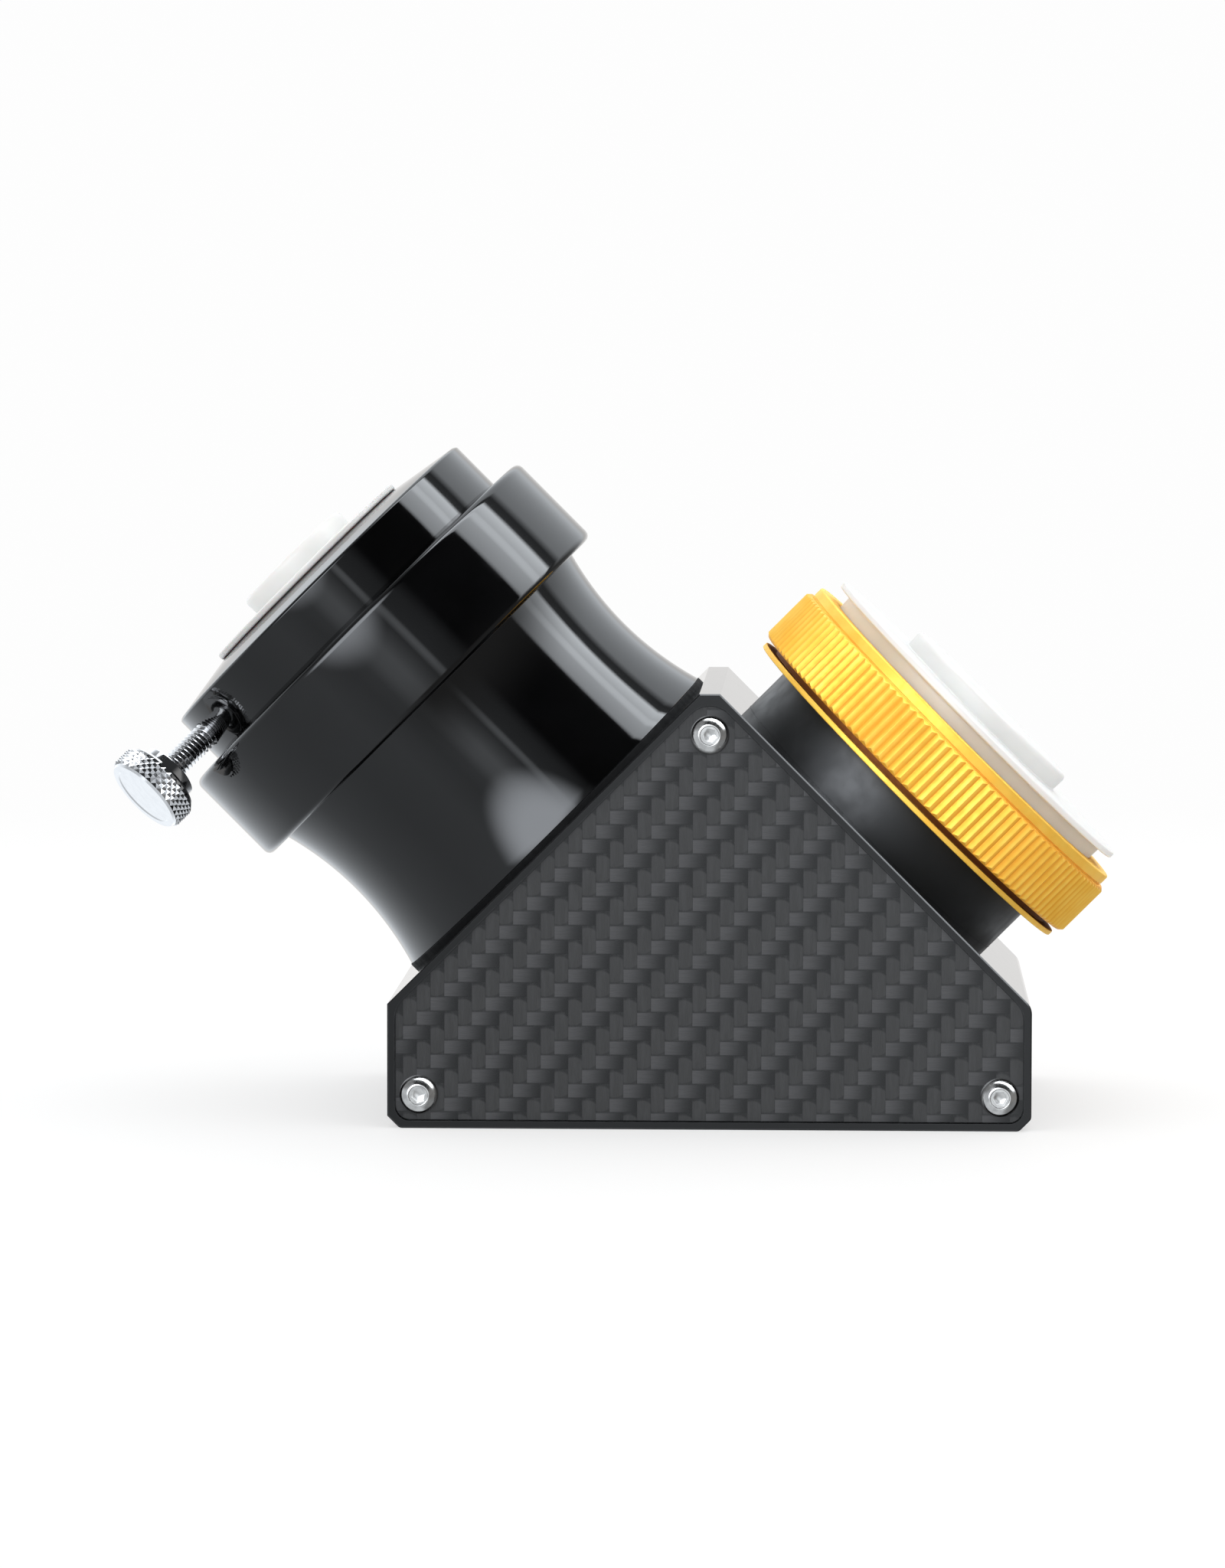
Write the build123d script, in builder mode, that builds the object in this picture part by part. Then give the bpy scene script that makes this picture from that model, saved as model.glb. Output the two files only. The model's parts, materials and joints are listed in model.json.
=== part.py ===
"""Star diagonal: a 90 degree mirror elbow for a telescope.

A machined housing holds a flat mirror on its base. The eyepiece holder and its
1.25 inch adapter rise to the left, and the nose with its turning coupling ring
rises to the right. Both optical axes stand at 45 degrees and cross on the mirror face.

Frame, in millimetres: +Z up, +X towards the telescope side, +Y towards the rear,
origin at the middle of the flat underside. "Station" means distance from the crossing
point, measured along the optical axis in question.
"""

from build123d import *
import os
from math import cos, radians, sin, sqrt

# ---------------------------------------------------------------- driving dimensions
# Housing block
body_width = 94.0
body_depth = 68.0
side_height = 18.2
apex_flat = 3.0
base_corner_chamfer = 1.8
base_corner_radius = 1.0
shoulder_radius = 2.5
apex_edge_radius = 0.2
edge_chamfer = 0.2
axis_height = 18.4

# Side panels and their screws
panel_rim = 1.1
panel_thickness = 1.5
panel_sink = 0.7
panel_clearance = 0.15
panel_base_radius = 2.2
panel_shoulder_radius = 4.0
panel_apex_radius = 4.0
panel_screw_side_inset = 4.6
panel_screw_base_inset = 4.9
panel_screw_apex_inset = 6.0
panel_screw_length = 6.0

# Mirror, its pad and the plate that closes the base
mirror_half_length = 36.0
mirror_half_width = 25.5
mirror_thickness = 12.0
mirror_bevel = 0.5
mirror_clearance = 0.3
pad_margin = 1.0
back_plate_length = 78.0
back_plate_width = 56.0
back_plate_thickness = 4.0
back_plate_corner_radius = 4.0
back_plate_clearance = 0.15
back_plate_screw_x = 33.0
back_plate_screw_y = 22.5
back_plate_screw_length = 9.0

# Eyepiece holder: its 2 inch bore, and the walls around it
two_inch_bore_radius = 25.45
spigot_depth = 4.9
spigot_clearance = 0.05
holder_spigot_wall = 1.05
holder_washer_wall = 5.1
holder_washer_thickness = 0.85
holder_foot_wall = 4.95
holder_waist_wall = 2.95
holder_neck_top_wall = 4.65
holder_neck_length = 26.5
holder_head_wall = 8.65
holder_head_length = 15.65
holder_head_round = 1.1
holder_stop_depth = 36.0
holder_stop_step = 1.95
bore_mouth_chamfer = 0.6
light_bore_step = 2.95

# Adapter from the 2 inch bore down to 1.25 inch
eyepiece_bore_radius = 15.93
adapter_barrel_clearance = 0.07
adapter_barrel_length = 27.0
adapter_flange_overhang = 3.8
adapter_flange_length = 8.3
adapter_crown_height = 1.8
adapter_crown_edge = 0.35
adapter_crown_land = 2.07
adapter_skirt_wall = 2.78
adapter_skirt_length = 6.5
adapter_stop_step = 1.13
adapter_stop_length = 2.0
safety_groove_depth = 0.5
safety_groove_length = 8.5

# Brass compression rings
adapter_ring_below_top = 4.5
adapter_ring_width = 3.2
adapter_ring_wall = 1.2
adapter_ring_recess = 0.27
holder_ring_below_top = 7.8
holder_ring_width = 5.0
holder_ring_wall = 1.2
holder_ring_recess = 0.3
ring_travel_in = 0.5
ring_travel_out = 0.2
ring_side_clearance = 0.1
ring_gap_angle = 16.0

# Thumbscrews
screw_radius = 1.97
screw_clearance = 0.08
knob_radius = 6.63
knob_length = 4.06
knob_chamfer = 0.35
collar_radius = 4.5
collar_length = 1.85
adapter_screw_angle = 24.9
adapter_screw_exposed = 8.05
holder_screw_exposed = 4.9

# Nose tube, and the coupling ring whose 2 inch thread takes the telescope
nose_tube_radius = 25.4
nose_neck_step = 2.05
nose_bore_step = 0.8
thread_minor_radius = 24.83
thread_relief_depth = 0.57
ring_gap_from_body = 7.64
coupling_ring_length = 12.52
coupling_wall = 3.83
coupling_band_rise = 0.97
coupling_band_length = 9.0
coupling_band_chamfer = 0.5
coupling_groove_width = 0.9
coupling_groove_depth = 0.58
coupling_lower_rim = 0.8
nose_entry_depth = 1.2
nose_entry_gap = 0.3
lip_thickness = 1.3
slip_washer_thickness = 0.45
slip_washer_gap = 0.05
running_clearance = 0.07
nose_flange_clearance = 0.33
nose_flange_overhang = 1.15
nose_flange_length = 1.9
nose_flange_spigot_wall = 1.6
nose_flange_spigot_step = 0.75
nose_flange_spigot_length = 3.9
thread_start_gap = 0.2
mouth_step = 1.82
mouth_depth = 2.05

# Dust caps
cap_wall = 1.0
cap_fit = 0.1
cap_lift = 2.1
cap_edge_round = 0.3
cap_boss_round = 0.9
eyepiece_cap_overhang = 2.37
eyepiece_cap_plug = 4.4
eyepiece_cap_boss_radius = 9.8
eyepiece_cap_boss_height = 2.75
eyepiece_cap_fit = 0.18
telescope_cap_overhang = 2.05
telescope_cap_plug = 1.95
telescope_cap_boss_radius = 15.5
telescope_cap_boss_height = 3.0

# M3 fasteners
m3_radius = 1.5
m3_hole_clearance = 0.05
drill_point = 1.0
panel_hole_radius = 1.7
button_head_radius = 2.85
button_head_height = 1.65
button_head_top_radius = 1.75
hex_across_flats = 2.0
hex_depth = 1.05
flat_head_radius = 2.95
set_screw_inset = 2.9
set_screw_length = 4.8
set_screw_hex = 1.5
set_screw_hex_depth = 1.6
set_screw_gap = 0.05

# How far a cutting shape runs past the surface that it opens
cut_through = 1.0

# ---------------------------------------------------------------- derived geometry
roof_height = side_height + body_width / 2 - apex_flat / 2
virtual_apex_height = side_height + body_width / 2
face_station = (virtual_apex_height - axis_height) / sqrt(2)
spigot_station = face_station - spigot_depth

light_bore_radius = two_inch_bore_radius - light_bore_step
holder_spigot_radius = two_inch_bore_radius + holder_spigot_wall
holder_washer_radius = two_inch_bore_radius + holder_washer_wall
holder_foot_radius = two_inch_bore_radius + holder_foot_wall
holder_waist_radius = two_inch_bore_radius + holder_waist_wall
holder_neck_top_radius = two_inch_bore_radius + holder_neck_top_wall
holder_head_radius = two_inch_bore_radius + holder_head_wall
holder_stop_radius = two_inch_bore_radius - holder_stop_step
adapter_barrel_radius = two_inch_bore_radius - adapter_barrel_clearance
adapter_flange_radius = two_inch_bore_radius + adapter_flange_overhang
adapter_crown_outer_radius = adapter_flange_radius - adapter_crown_edge
adapter_crown_inner_radius = eyepiece_bore_radius + adapter_crown_land
adapter_skirt_radius = adapter_barrel_radius - adapter_skirt_wall
adapter_stop_radius = eyepiece_bore_radius - adapter_stop_step
eyepiece_cap_radius = eyepiece_bore_radius + eyepiece_cap_overhang

nose_flange_radius = thread_minor_radius - nose_flange_clearance
nose_neck_radius = min(nose_tube_radius - nose_neck_step, nose_flange_radius - nose_flange_overhang)
nose_flange_spigot_radius = nose_neck_radius - nose_flange_spigot_step
nose_bore_radius = nose_flange_spigot_radius - nose_bore_step
nose_flange_bore_radius = nose_flange_spigot_radius - nose_flange_spigot_wall
thread_relief_radius = thread_minor_radius + thread_relief_depth
mouth_radius = thread_minor_radius + mouth_step
coupling_rim_radius = max(nose_tube_radius, mouth_radius) + coupling_wall
coupling_band_radius = coupling_rim_radius + coupling_band_rise
coupling_groove_radius = coupling_rim_radius - coupling_groove_depth
telescope_cap_radius = mouth_radius + telescope_cap_overhang

crossing = Vector(0, 0, axis_height)
eyepiece_direction = Vector(-1, 0, 1).normalized()
telescope_direction = Vector(1, 0, 1).normalized()
to_front = Vector(0, -1, 0)

eyepiece_axis = Axis(crossing, eyepiece_direction)
telescope_axis = Axis(crossing, telescope_direction)
eyepiece_section = Plane(crossing, x_dir=telescope_direction, z_dir=to_front)
telescope_section = Plane(crossing, x_dir=-eyepiece_direction, z_dir=to_front)

recess_depth = panel_thickness + panel_sink
recess_floor = body_depth / 2 - recess_depth
pad_thickness = axis_height - mirror_thickness - back_plate_thickness

neck_base = face_station + holder_washer_thickness
head_base = neck_base + holder_neck_length
head_top = head_base + holder_head_length
holder_stop = head_top - holder_stop_depth

flange_top = head_top + adapter_flange_length
adapter_top = flange_top + adapter_crown_height
barrel_end = head_top - adapter_barrel_length

ring_back = face_station + ring_gap_from_body
ring_mouth = ring_back + coupling_ring_length
lip_back = ring_back + nose_entry_depth
lip_front = lip_back + lip_thickness
nose_shoulder = lip_back - nose_entry_gap
nose_neck_end = lip_front + slip_washer_thickness + slip_washer_gap
nose_face = nose_neck_end + nose_flange_length
thread_start = nose_face + thread_start_gap
mouth_shoulder = ring_mouth - mouth_depth

adapter_ring_station = flange_top - adapter_ring_below_top
holder_ring_station = head_top - holder_ring_below_top
adapter_ring_outer = eyepiece_bore_radius + adapter_ring_recess + adapter_ring_wall
holder_ring_outer = two_inch_bore_radius + holder_ring_recess + holder_ring_wall

swing = radians(adapter_screw_angle)
adapter_screw_direction = telescope_direction * -cos(swing) + to_front * sin(swing)
holder_screw_direction = Vector(0, 1, 0)
adapter_screw_origin = crossing + eyepiece_direction * adapter_ring_station
holder_screw_origin = crossing + eyepiece_direction * holder_ring_station


# ---------------------------------------------------------------- shared shapes
def body_outline(inset: float = 0.0) -> list:
    """Corners of the housing's front outline with its pointed roof, moved in by inset."""
    half = body_width / 2 - inset
    shoulder = side_height - inset * (sqrt(2) - 1)
    peak = virtual_apex_height - inset * sqrt(2)
    return [(-half, inset), (half, inset), (half, shoulder), (0, peak), (-half, shoulder)]


def panel_sketch(clearance: float = 0.0) -> Sketch:
    """Rounded outline of the panel recess, or of a panel that much smaller all round."""
    with BuildSketch() as outline:
        with BuildLine():
            Polyline(*body_outline(panel_rim + clearance), close=True)
        make_face()
        fillet(outline.vertices().group_by(Axis.Y)[-1], radius=panel_apex_radius - clearance)
        shoulders = outline.vertices().filter_by_position(
            Axis.Y, side_height - panel_rim - clearance, side_height
        )
        fillet(shoulders, radius=panel_shoulder_radius - clearance)
        fillet(outline.vertices().group_by(Axis.Y)[0], radius=panel_base_radius - clearance)
    return outline.sketch


def panel_screw_places() -> list:
    """Centres of the three panel screws in the front view."""
    side = body_width / 2 - panel_screw_side_inset
    return [
        (-side, panel_screw_base_inset),
        (side, panel_screw_base_inset),
        (0, roof_height - panel_screw_apex_inset),
    ]


def plate_screw_places() -> list:
    """Centres of the four back plate screws in plan."""
    x, y = back_plate_screw_x, back_plate_screw_y
    return [(-x, -y), (x, -y), (x, y), (-x, y)]


def button_screw(length: float) -> Part:
    """M3 button-head socket screw, seated at the origin with its head towards +Z."""
    with BuildPart() as screw:
        with BuildSketch(Plane.XZ):
            with BuildLine():
                Line((0, 0), (button_head_radius, 0))
                ThreePointArc(
                    (button_head_radius, 0),
                    (0.88 * button_head_radius, 0.62 * button_head_height),
                    (button_head_top_radius, button_head_height),
                )
                Line((button_head_top_radius, button_head_height), (0, button_head_height))
                Line((0, button_head_height), (0, 0))
            make_face()
        revolve(axis=Axis.Z)
        with BuildSketch(Plane.XY):
            Circle(m3_radius)
        extrude(amount=-length)
        with BuildSketch(Plane.XY.offset(button_head_height)):
            RegularPolygon(hex_across_flats / 2, 6, major_radius=False)
        extrude(amount=-hex_depth, mode=Mode.SUBTRACT)
    return screw.part


def flat_head_screw(length: float) -> Part:
    """M3 countersunk socket screw, its flat head at the origin and facing -Z."""
    cone = flat_head_radius - m3_radius
    with BuildPart() as screw:
        with BuildSketch(Plane.XZ):
            with BuildLine():
                Polyline(
                    (0, 0),
                    (flat_head_radius, 0),
                    (m3_radius, cone),
                    (m3_radius, length),
                    (0, length),
                    close=True,
                )
            make_face()
        revolve(axis=Axis.Z)
        with BuildSketch(Plane.XY):
            RegularPolygon(hex_across_flats / 2, 6, major_radius=False)
        extrude(amount=hex_depth, mode=Mode.SUBTRACT)
    return screw.part


def set_screw() -> Part:
    """M3 headless set screw, its flat tip at the origin and its socket towards +Z."""
    with BuildPart() as screw:
        with BuildSketch(Plane.XY):
            Circle(m3_radius)
        extrude(amount=set_screw_length)
        chamfer(screw.edges().group_by(Axis.Z)[0], length=m3_radius / 4)
        with BuildSketch(Plane.XY.offset(set_screw_length)):
            RegularPolygon(set_screw_hex / 2, 6, major_radius=False)
        extrude(amount=-set_screw_hex_depth, mode=Mode.SUBTRACT)
    return screw.part


def thumbscrew(shank: float) -> Part:
    """Knurled-knob thumbscrew, its tip at the origin and its knob towards +Z."""
    knob_back = shank + collar_length
    knob_face = knob_back + knob_length
    with BuildPart() as screw:
        with BuildSketch(Plane.XZ):
            with BuildLine():
                Polyline(
                    (0, 0),
                    (screw_radius - knob_chamfer, 0),
                    (screw_radius, knob_chamfer),
                    (screw_radius, shank),
                    (collar_radius, shank),
                    (collar_radius, knob_back),
                    (knob_radius - knob_chamfer, knob_back),
                    (knob_radius, knob_back + knob_chamfer),
                    (knob_radius, knob_face - knob_chamfer),
                    (knob_radius - knob_chamfer, knob_face),
                    (0, knob_face),
                    close=True,
                )
            make_face()
        revolve(axis=Axis.Z)
    return screw.part


def split_ring(inner: float, wall: float, width: float) -> Part:
    """Flat brass C-ring centred on the origin, its gap opening towards -X."""
    with BuildPart() as ring:
        with BuildSketch(Plane.XY.offset(-width / 2)):
            Circle(inner + wall)
            Circle(inner, mode=Mode.SUBTRACT)
            half_gap = (inner + wall) * sin(radians(ring_gap_angle / 2))
            with Locations((-(inner + wall), 0)):
                Rectangle(4 * wall, 2 * half_gap, mode=Mode.SUBTRACT)
        extrude(amount=width)
    return ring.part


def dust_cap_sketch(plug: float, plug_end: float, flange: float, edge: float,
                    boss: float, height: float) -> Sketch:
    """Half section of a moulded push-in cap: thin plug, flange and hollow centre boss."""
    top = flange + cap_wall
    crown = top + height
    with BuildSketch() as section:
        with BuildLine():
            Polyline(
                (0, crown),
                (boss, crown),
                (boss, top),
                (edge, top),
                (edge, flange),
                (plug, flange),
                (plug, plug_end),
                (plug - cap_wall, plug_end),
                (plug - cap_wall, flange),
                (boss - cap_wall, flange),
                (boss - cap_wall, crown - cap_wall),
                (0, crown - cap_wall),
                close=True,
            )
        make_face()
        crown_corner = section.vertices().filter_by_position(Axis.Y, crown, crown).sort_by(Axis.X)[-1]
        fillet(crown_corner, radius=cap_boss_round)
        rim_corners = section.vertices().sort_by(Axis.X)[-2:]
        fillet(rim_corners, radius=cap_edge_round)
    return section.sketch


# ---------------------------------------------------------------- housing
with BuildPart() as housing:
    # Block with 45 degree roof slopes
    with BuildSketch(Plane.XZ.offset(body_depth / 2)) as block:
        with BuildLine():
            Polyline(
                (-body_width / 2, 0),
                (body_width / 2, 0),
                (body_width / 2, side_height),
                (apex_flat / 2, roof_height),
                (-apex_flat / 2, roof_height),
                (-body_width / 2, side_height),
                close=True,
            )
        make_face()
        fillet(block.vertices().group_by(Axis.Y)[-1], radius=apex_edge_radius)
        fillet(block.vertices().filter_by_position(Axis.Y, side_height, side_height), radius=shoulder_radius)
        chamfer(block.vertices().group_by(Axis.Y)[0], length=base_corner_chamfer)
        fillet(block.vertices().filter_by_position(Axis.Y, 0, base_corner_chamfer), radius=base_corner_radius)
    extrude(amount=-body_depth)
    chamfer(housing.faces().filter_by(Axis.Y).edges(), length=edge_chamfer)

    # Recesses for the two side panels
    for face_y, inward in ((body_depth / 2, -recess_depth), (-body_depth / 2, recess_depth)):
        with BuildSketch(Plane.XZ.offset(face_y)):
            add(panel_sketch())
        extrude(amount=inward, mode=Mode.SUBTRACT)
        with BuildSketch(Plane.XZ.offset(face_y + inward)):
            with Locations(*panel_screw_places()):
                Circle(m3_radius + m3_hole_clearance)
        extrude(amount=inward / recess_depth * panel_screw_length, mode=Mode.SUBTRACT)

    # Light path, and the seats of the eyepiece holder and the nose tube
    for direction, seat_radius in (
        (eyepiece_direction, holder_spigot_radius),
        (telescope_direction, nose_tube_radius),
    ):
        with BuildSketch(Plane(crossing, z_dir=direction)):
            Circle(light_bore_radius)
        extrude(amount=face_station + cut_through, mode=Mode.SUBTRACT)
        with BuildSketch(Plane(crossing + direction * spigot_station, z_dir=direction)):
            Circle(seat_radius + spigot_clearance)
        extrude(amount=spigot_depth + cut_through, mode=Mode.SUBTRACT)

    # Mirror pocket, open below, and the shallow recess for the back plate
    with BuildSketch(Plane.XY):
        Ellipse(mirror_half_length + mirror_clearance, mirror_half_width + mirror_clearance)
    extrude(amount=axis_height, mode=Mode.SUBTRACT)
    with BuildSketch(Plane.XY):
        RectangleRounded(
            back_plate_length + 2 * back_plate_clearance,
            back_plate_width + 2 * back_plate_clearance,
            back_plate_corner_radius,
        )
    extrude(amount=back_plate_thickness, mode=Mode.SUBTRACT)
    with BuildSketch(Plane.XY):
        with Locations(*plate_screw_places()):
            Circle(m3_radius + m3_hole_clearance)
    extrude(amount=back_plate_screw_length + drill_point, mode=Mode.SUBTRACT)

    # Holes for the set screws that lock the holder and the nose, front and rear
    for direction in (eyepiece_direction, telescope_direction):
        centre = crossing + direction * (face_station - set_screw_inset)
        for side in (-1, 1):
            with BuildSketch(Plane(centre, z_dir=(0, side, 0))):
                Circle(m3_radius + m3_hole_clearance)
            extrude(amount=body_depth / 2, mode=Mode.SUBTRACT)
housing.part.label = "housing"

# ---------------------------------------------------------------- side panels
side_panels = []
for panel_name, outer_y in (("front_side_panel", 1), ("rear_side_panel", -1)):
    with BuildPart() as panel:
        with BuildSketch(Plane.XZ.offset(outer_y * recess_floor)):
            add(panel_sketch(panel_clearance))
            with Locations(*panel_screw_places()):
                Circle(panel_hole_radius, mode=Mode.SUBTRACT)
        extrude(amount=outer_y * panel_thickness)
    panel.part.label = panel_name
    side_panels.append(panel)

panel_screw_groups = []
for group_name, outer_y in (("front_panel_screws", -1), ("rear_panel_screws", 1)):
    with BuildPart() as group:
        for x, z in panel_screw_places():
            seat = Vector(x, outer_y * (recess_floor + panel_thickness), z)
            with Locations(Plane(seat, x_dir=(1, 0, 0), z_dir=(0, outer_y, 0))):
                add(button_screw(panel_thickness + panel_screw_length - drill_point))
    group.part.label = group_name
    panel_screw_groups.append(group)

# ---------------------------------------------------------------- mirror group
with BuildPart() as mirror:
    with BuildSketch(Plane.XY.offset(axis_height - mirror_thickness)):
        Ellipse(mirror_half_length, mirror_half_width)
    extrude(amount=mirror_thickness)
    chamfer(mirror.edges().group_by(Axis.Z)[-1], length=mirror_bevel)
mirror.part.label = "mirror"

with BuildPart() as mirror_pad:
    with BuildSketch(Plane.XY.offset(back_plate_thickness)):
        Ellipse(mirror_half_length - pad_margin, mirror_half_width - pad_margin)
    extrude(amount=pad_thickness)
mirror_pad.part.label = "mirror_pad"

with BuildPart() as back_plate:
    with BuildSketch(Plane.XY):
        RectangleRounded(back_plate_length, back_plate_width, back_plate_corner_radius)
    extrude(amount=back_plate_thickness)
    with Locations(Plane(origin=(0, 0, 0), z_dir=(0, 0, -1))):
        with Locations(*plate_screw_places()):
            CounterSinkHole(panel_hole_radius, flat_head_radius + m3_hole_clearance)
back_plate.part.label = "back_plate"

with BuildPart() as back_plate_screws:
    for x, y in plate_screw_places():
        with Locations((x, y, 0)):
            add(flat_head_screw(back_plate_screw_length))
back_plate_screws.part.label = "back_plate_screws"

# ---------------------------------------------------------------- eyepiece holder
with BuildPart() as holder_washer:
    with BuildSketch(Plane(crossing + eyepiece_direction * face_station, z_dir=eyepiece_direction)):
        Circle(holder_washer_radius)
        Circle(holder_spigot_radius + spigot_clearance, mode=Mode.SUBTRACT)
    extrude(amount=holder_washer_thickness)
holder_washer.part.label = "holder_washer"

with BuildPart() as eyepiece_holder:
    with BuildSketch(eyepiece_section):
        with BuildLine():
            Polyline(
                (holder_neck_top_radius, head_base),
                (holder_head_radius, head_base),
                (holder_head_radius, head_top),
                (two_inch_bore_radius, head_top),
                (two_inch_bore_radius, holder_stop),
                (holder_stop_radius, holder_stop),
                (holder_stop_radius, spigot_station),
                (holder_spigot_radius, spigot_station),
                (holder_spigot_radius, neck_base),
                (holder_foot_radius, neck_base),
            )
            ThreePointArc(
                (holder_foot_radius, neck_base),
                (holder_waist_radius, (neck_base + head_base) / 2),
                (holder_neck_top_radius, head_base),
            )
        make_face()
    revolve(axis=eyepiece_axis)
    rims = eyepiece_holder.edges().filter_by(GeomType.CIRCLE)
    fillet(rims.filter_by(lambda rim: abs(rim.radius - holder_head_radius) < 0.01), radius=holder_head_round)
    mouth = eyepiece_holder.edges().filter_by(GeomType.CIRCLE).sort_by(eyepiece_axis)
    chamfer(mouth.filter_by(lambda rim: abs(rim.radius - two_inch_bore_radius) < 0.01)[-1],
            length=bore_mouth_chamfer)
    # Groove for the compression ring, and the threaded hole for the thumbscrew
    groove_width = holder_ring_width + 2 * ring_side_clearance
    groove_base = crossing + eyepiece_direction * (holder_ring_station - groove_width / 2)
    with BuildSketch(Plane(groove_base, z_dir=eyepiece_direction)):
        Circle(holder_ring_outer + ring_travel_in + ring_travel_out)
        Circle(two_inch_bore_radius - cut_through, mode=Mode.SUBTRACT)
    extrude(amount=groove_width, mode=Mode.SUBTRACT)
    with BuildSketch(Plane(holder_screw_origin, z_dir=holder_screw_direction)):
        Circle(screw_radius + screw_clearance)
    extrude(amount=holder_head_radius + cut_through, mode=Mode.SUBTRACT)
eyepiece_holder.part.label = "eyepiece_holder"

with BuildPart() as holder_compression_ring:
    ring_plane = Plane(holder_screw_origin, x_dir=holder_screw_direction, z_dir=eyepiece_direction)
    with Locations(ring_plane):
        add(split_ring(two_inch_bore_radius + holder_ring_recess, holder_ring_wall, holder_ring_width))
holder_compression_ring.part.label = "holder_compression_ring"

with BuildPart() as holder_thumbscrew:
    tip = holder_screw_origin + holder_screw_direction * (holder_ring_outer + screw_clearance)
    with Locations(Plane(tip, z_dir=holder_screw_direction)):
        add(thumbscrew(holder_head_radius + holder_screw_exposed - holder_ring_outer - screw_clearance))
holder_thumbscrew.part.label = "holder_thumbscrew"

# ---------------------------------------------------------------- adapter
with BuildPart() as adapter_body:
    groove_middle = holder_ring_station
    groove_bottom = adapter_barrel_radius - safety_groove_depth
    groove_half = safety_groove_length / 2
    stop_top = barrel_end + adapter_skirt_length + adapter_stop_length
    with BuildSketch(eyepiece_section):
        with BuildLine():
            Polyline(
                (eyepiece_bore_radius, adapter_top),
                (adapter_crown_inner_radius, adapter_top),
                (adapter_crown_outer_radius, flange_top),
                (adapter_flange_radius, flange_top),
                (adapter_flange_radius, head_top),
                (adapter_barrel_radius, head_top),
                (adapter_barrel_radius, groove_middle + groove_half),
                (groove_bottom, groove_middle + groove_half - safety_groove_depth),
                (groove_bottom, groove_middle - groove_half + safety_groove_depth),
                (adapter_barrel_radius, groove_middle - groove_half),
                (adapter_barrel_radius, barrel_end),
                (adapter_skirt_radius, barrel_end),
                (adapter_skirt_radius, barrel_end + adapter_skirt_length),
                (adapter_stop_radius, barrel_end + adapter_skirt_length),
                (adapter_stop_radius, stop_top),
                (eyepiece_bore_radius, stop_top),
                close=True,
            )
        make_face()
    revolve(axis=eyepiece_axis)
    # Groove for the compression ring, and the threaded hole for the thumbscrew
    groove_width = adapter_ring_width + 2 * ring_side_clearance
    groove_base = crossing + eyepiece_direction * (adapter_ring_station - groove_width / 2)
    with BuildSketch(Plane(groove_base, z_dir=eyepiece_direction)):
        Circle(adapter_ring_outer + ring_travel_in + ring_travel_out)
        Circle(eyepiece_bore_radius - cut_through, mode=Mode.SUBTRACT)
    extrude(amount=groove_width, mode=Mode.SUBTRACT)
    with BuildSketch(Plane(adapter_screw_origin, z_dir=adapter_screw_direction)):
        Circle(screw_radius + screw_clearance)
    extrude(amount=adapter_flange_radius + cut_through, mode=Mode.SUBTRACT)
adapter_body.part.label = "adapter_body"

with BuildPart() as adapter_compression_ring:
    ring_plane = Plane(adapter_screw_origin, x_dir=adapter_screw_direction, z_dir=eyepiece_direction)
    with Locations(ring_plane):
        add(split_ring(eyepiece_bore_radius + adapter_ring_recess, adapter_ring_wall, adapter_ring_width))
adapter_compression_ring.part.label = "adapter_compression_ring"

with BuildPart() as adapter_thumbscrew:
    tip = adapter_screw_origin + adapter_screw_direction * (adapter_ring_outer + screw_clearance)
    with Locations(Plane(tip, z_dir=adapter_screw_direction)):
        add(thumbscrew(adapter_flange_radius + adapter_screw_exposed - adapter_ring_outer - screw_clearance))
adapter_thumbscrew.part.label = "adapter_thumbscrew"

# ---------------------------------------------------------------- nose and coupling ring
with BuildPart() as nose_tube:
    with BuildSketch(telescope_section):
        with BuildLine():
            Polyline(
                (nose_bore_radius, spigot_station),
                (nose_tube_radius, spigot_station),
                (nose_tube_radius, nose_shoulder),
                (nose_neck_radius, nose_shoulder),
                (nose_neck_radius, nose_neck_end),
                (nose_flange_spigot_radius + spigot_clearance, nose_neck_end),
                (nose_flange_spigot_radius + spigot_clearance, nose_neck_end - nose_flange_spigot_length),
                (nose_bore_radius, nose_neck_end - nose_flange_spigot_length),
                close=True,
            )
        make_face()
    revolve(axis=telescope_axis)
nose_tube.part.label = "nose_tube"

with BuildPart() as nose_flange:
    with BuildSketch(telescope_section):
        with BuildLine():
            Polyline(
                (nose_flange_bore_radius, nose_face),
                (nose_flange_radius, nose_face),
                (nose_flange_radius, nose_neck_end),
                (nose_flange_spigot_radius, nose_neck_end),
                (nose_flange_spigot_radius, nose_neck_end - nose_flange_spigot_length),
                (nose_flange_bore_radius, nose_neck_end - nose_flange_spigot_length),
                close=True,
            )
        make_face()
    revolve(axis=telescope_axis)
nose_flange.part.label = "nose_flange"

with BuildPart() as slip_washer:
    washer_base = crossing + telescope_direction * (nose_neck_end - slip_washer_thickness)
    with BuildSketch(Plane(washer_base, z_dir=telescope_direction)):
        Circle(nose_flange_radius)
        Circle(nose_neck_radius + running_clearance, mode=Mode.SUBTRACT)
    extrude(amount=slip_washer_thickness)
slip_washer.part.label = "slip_washer"

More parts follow.
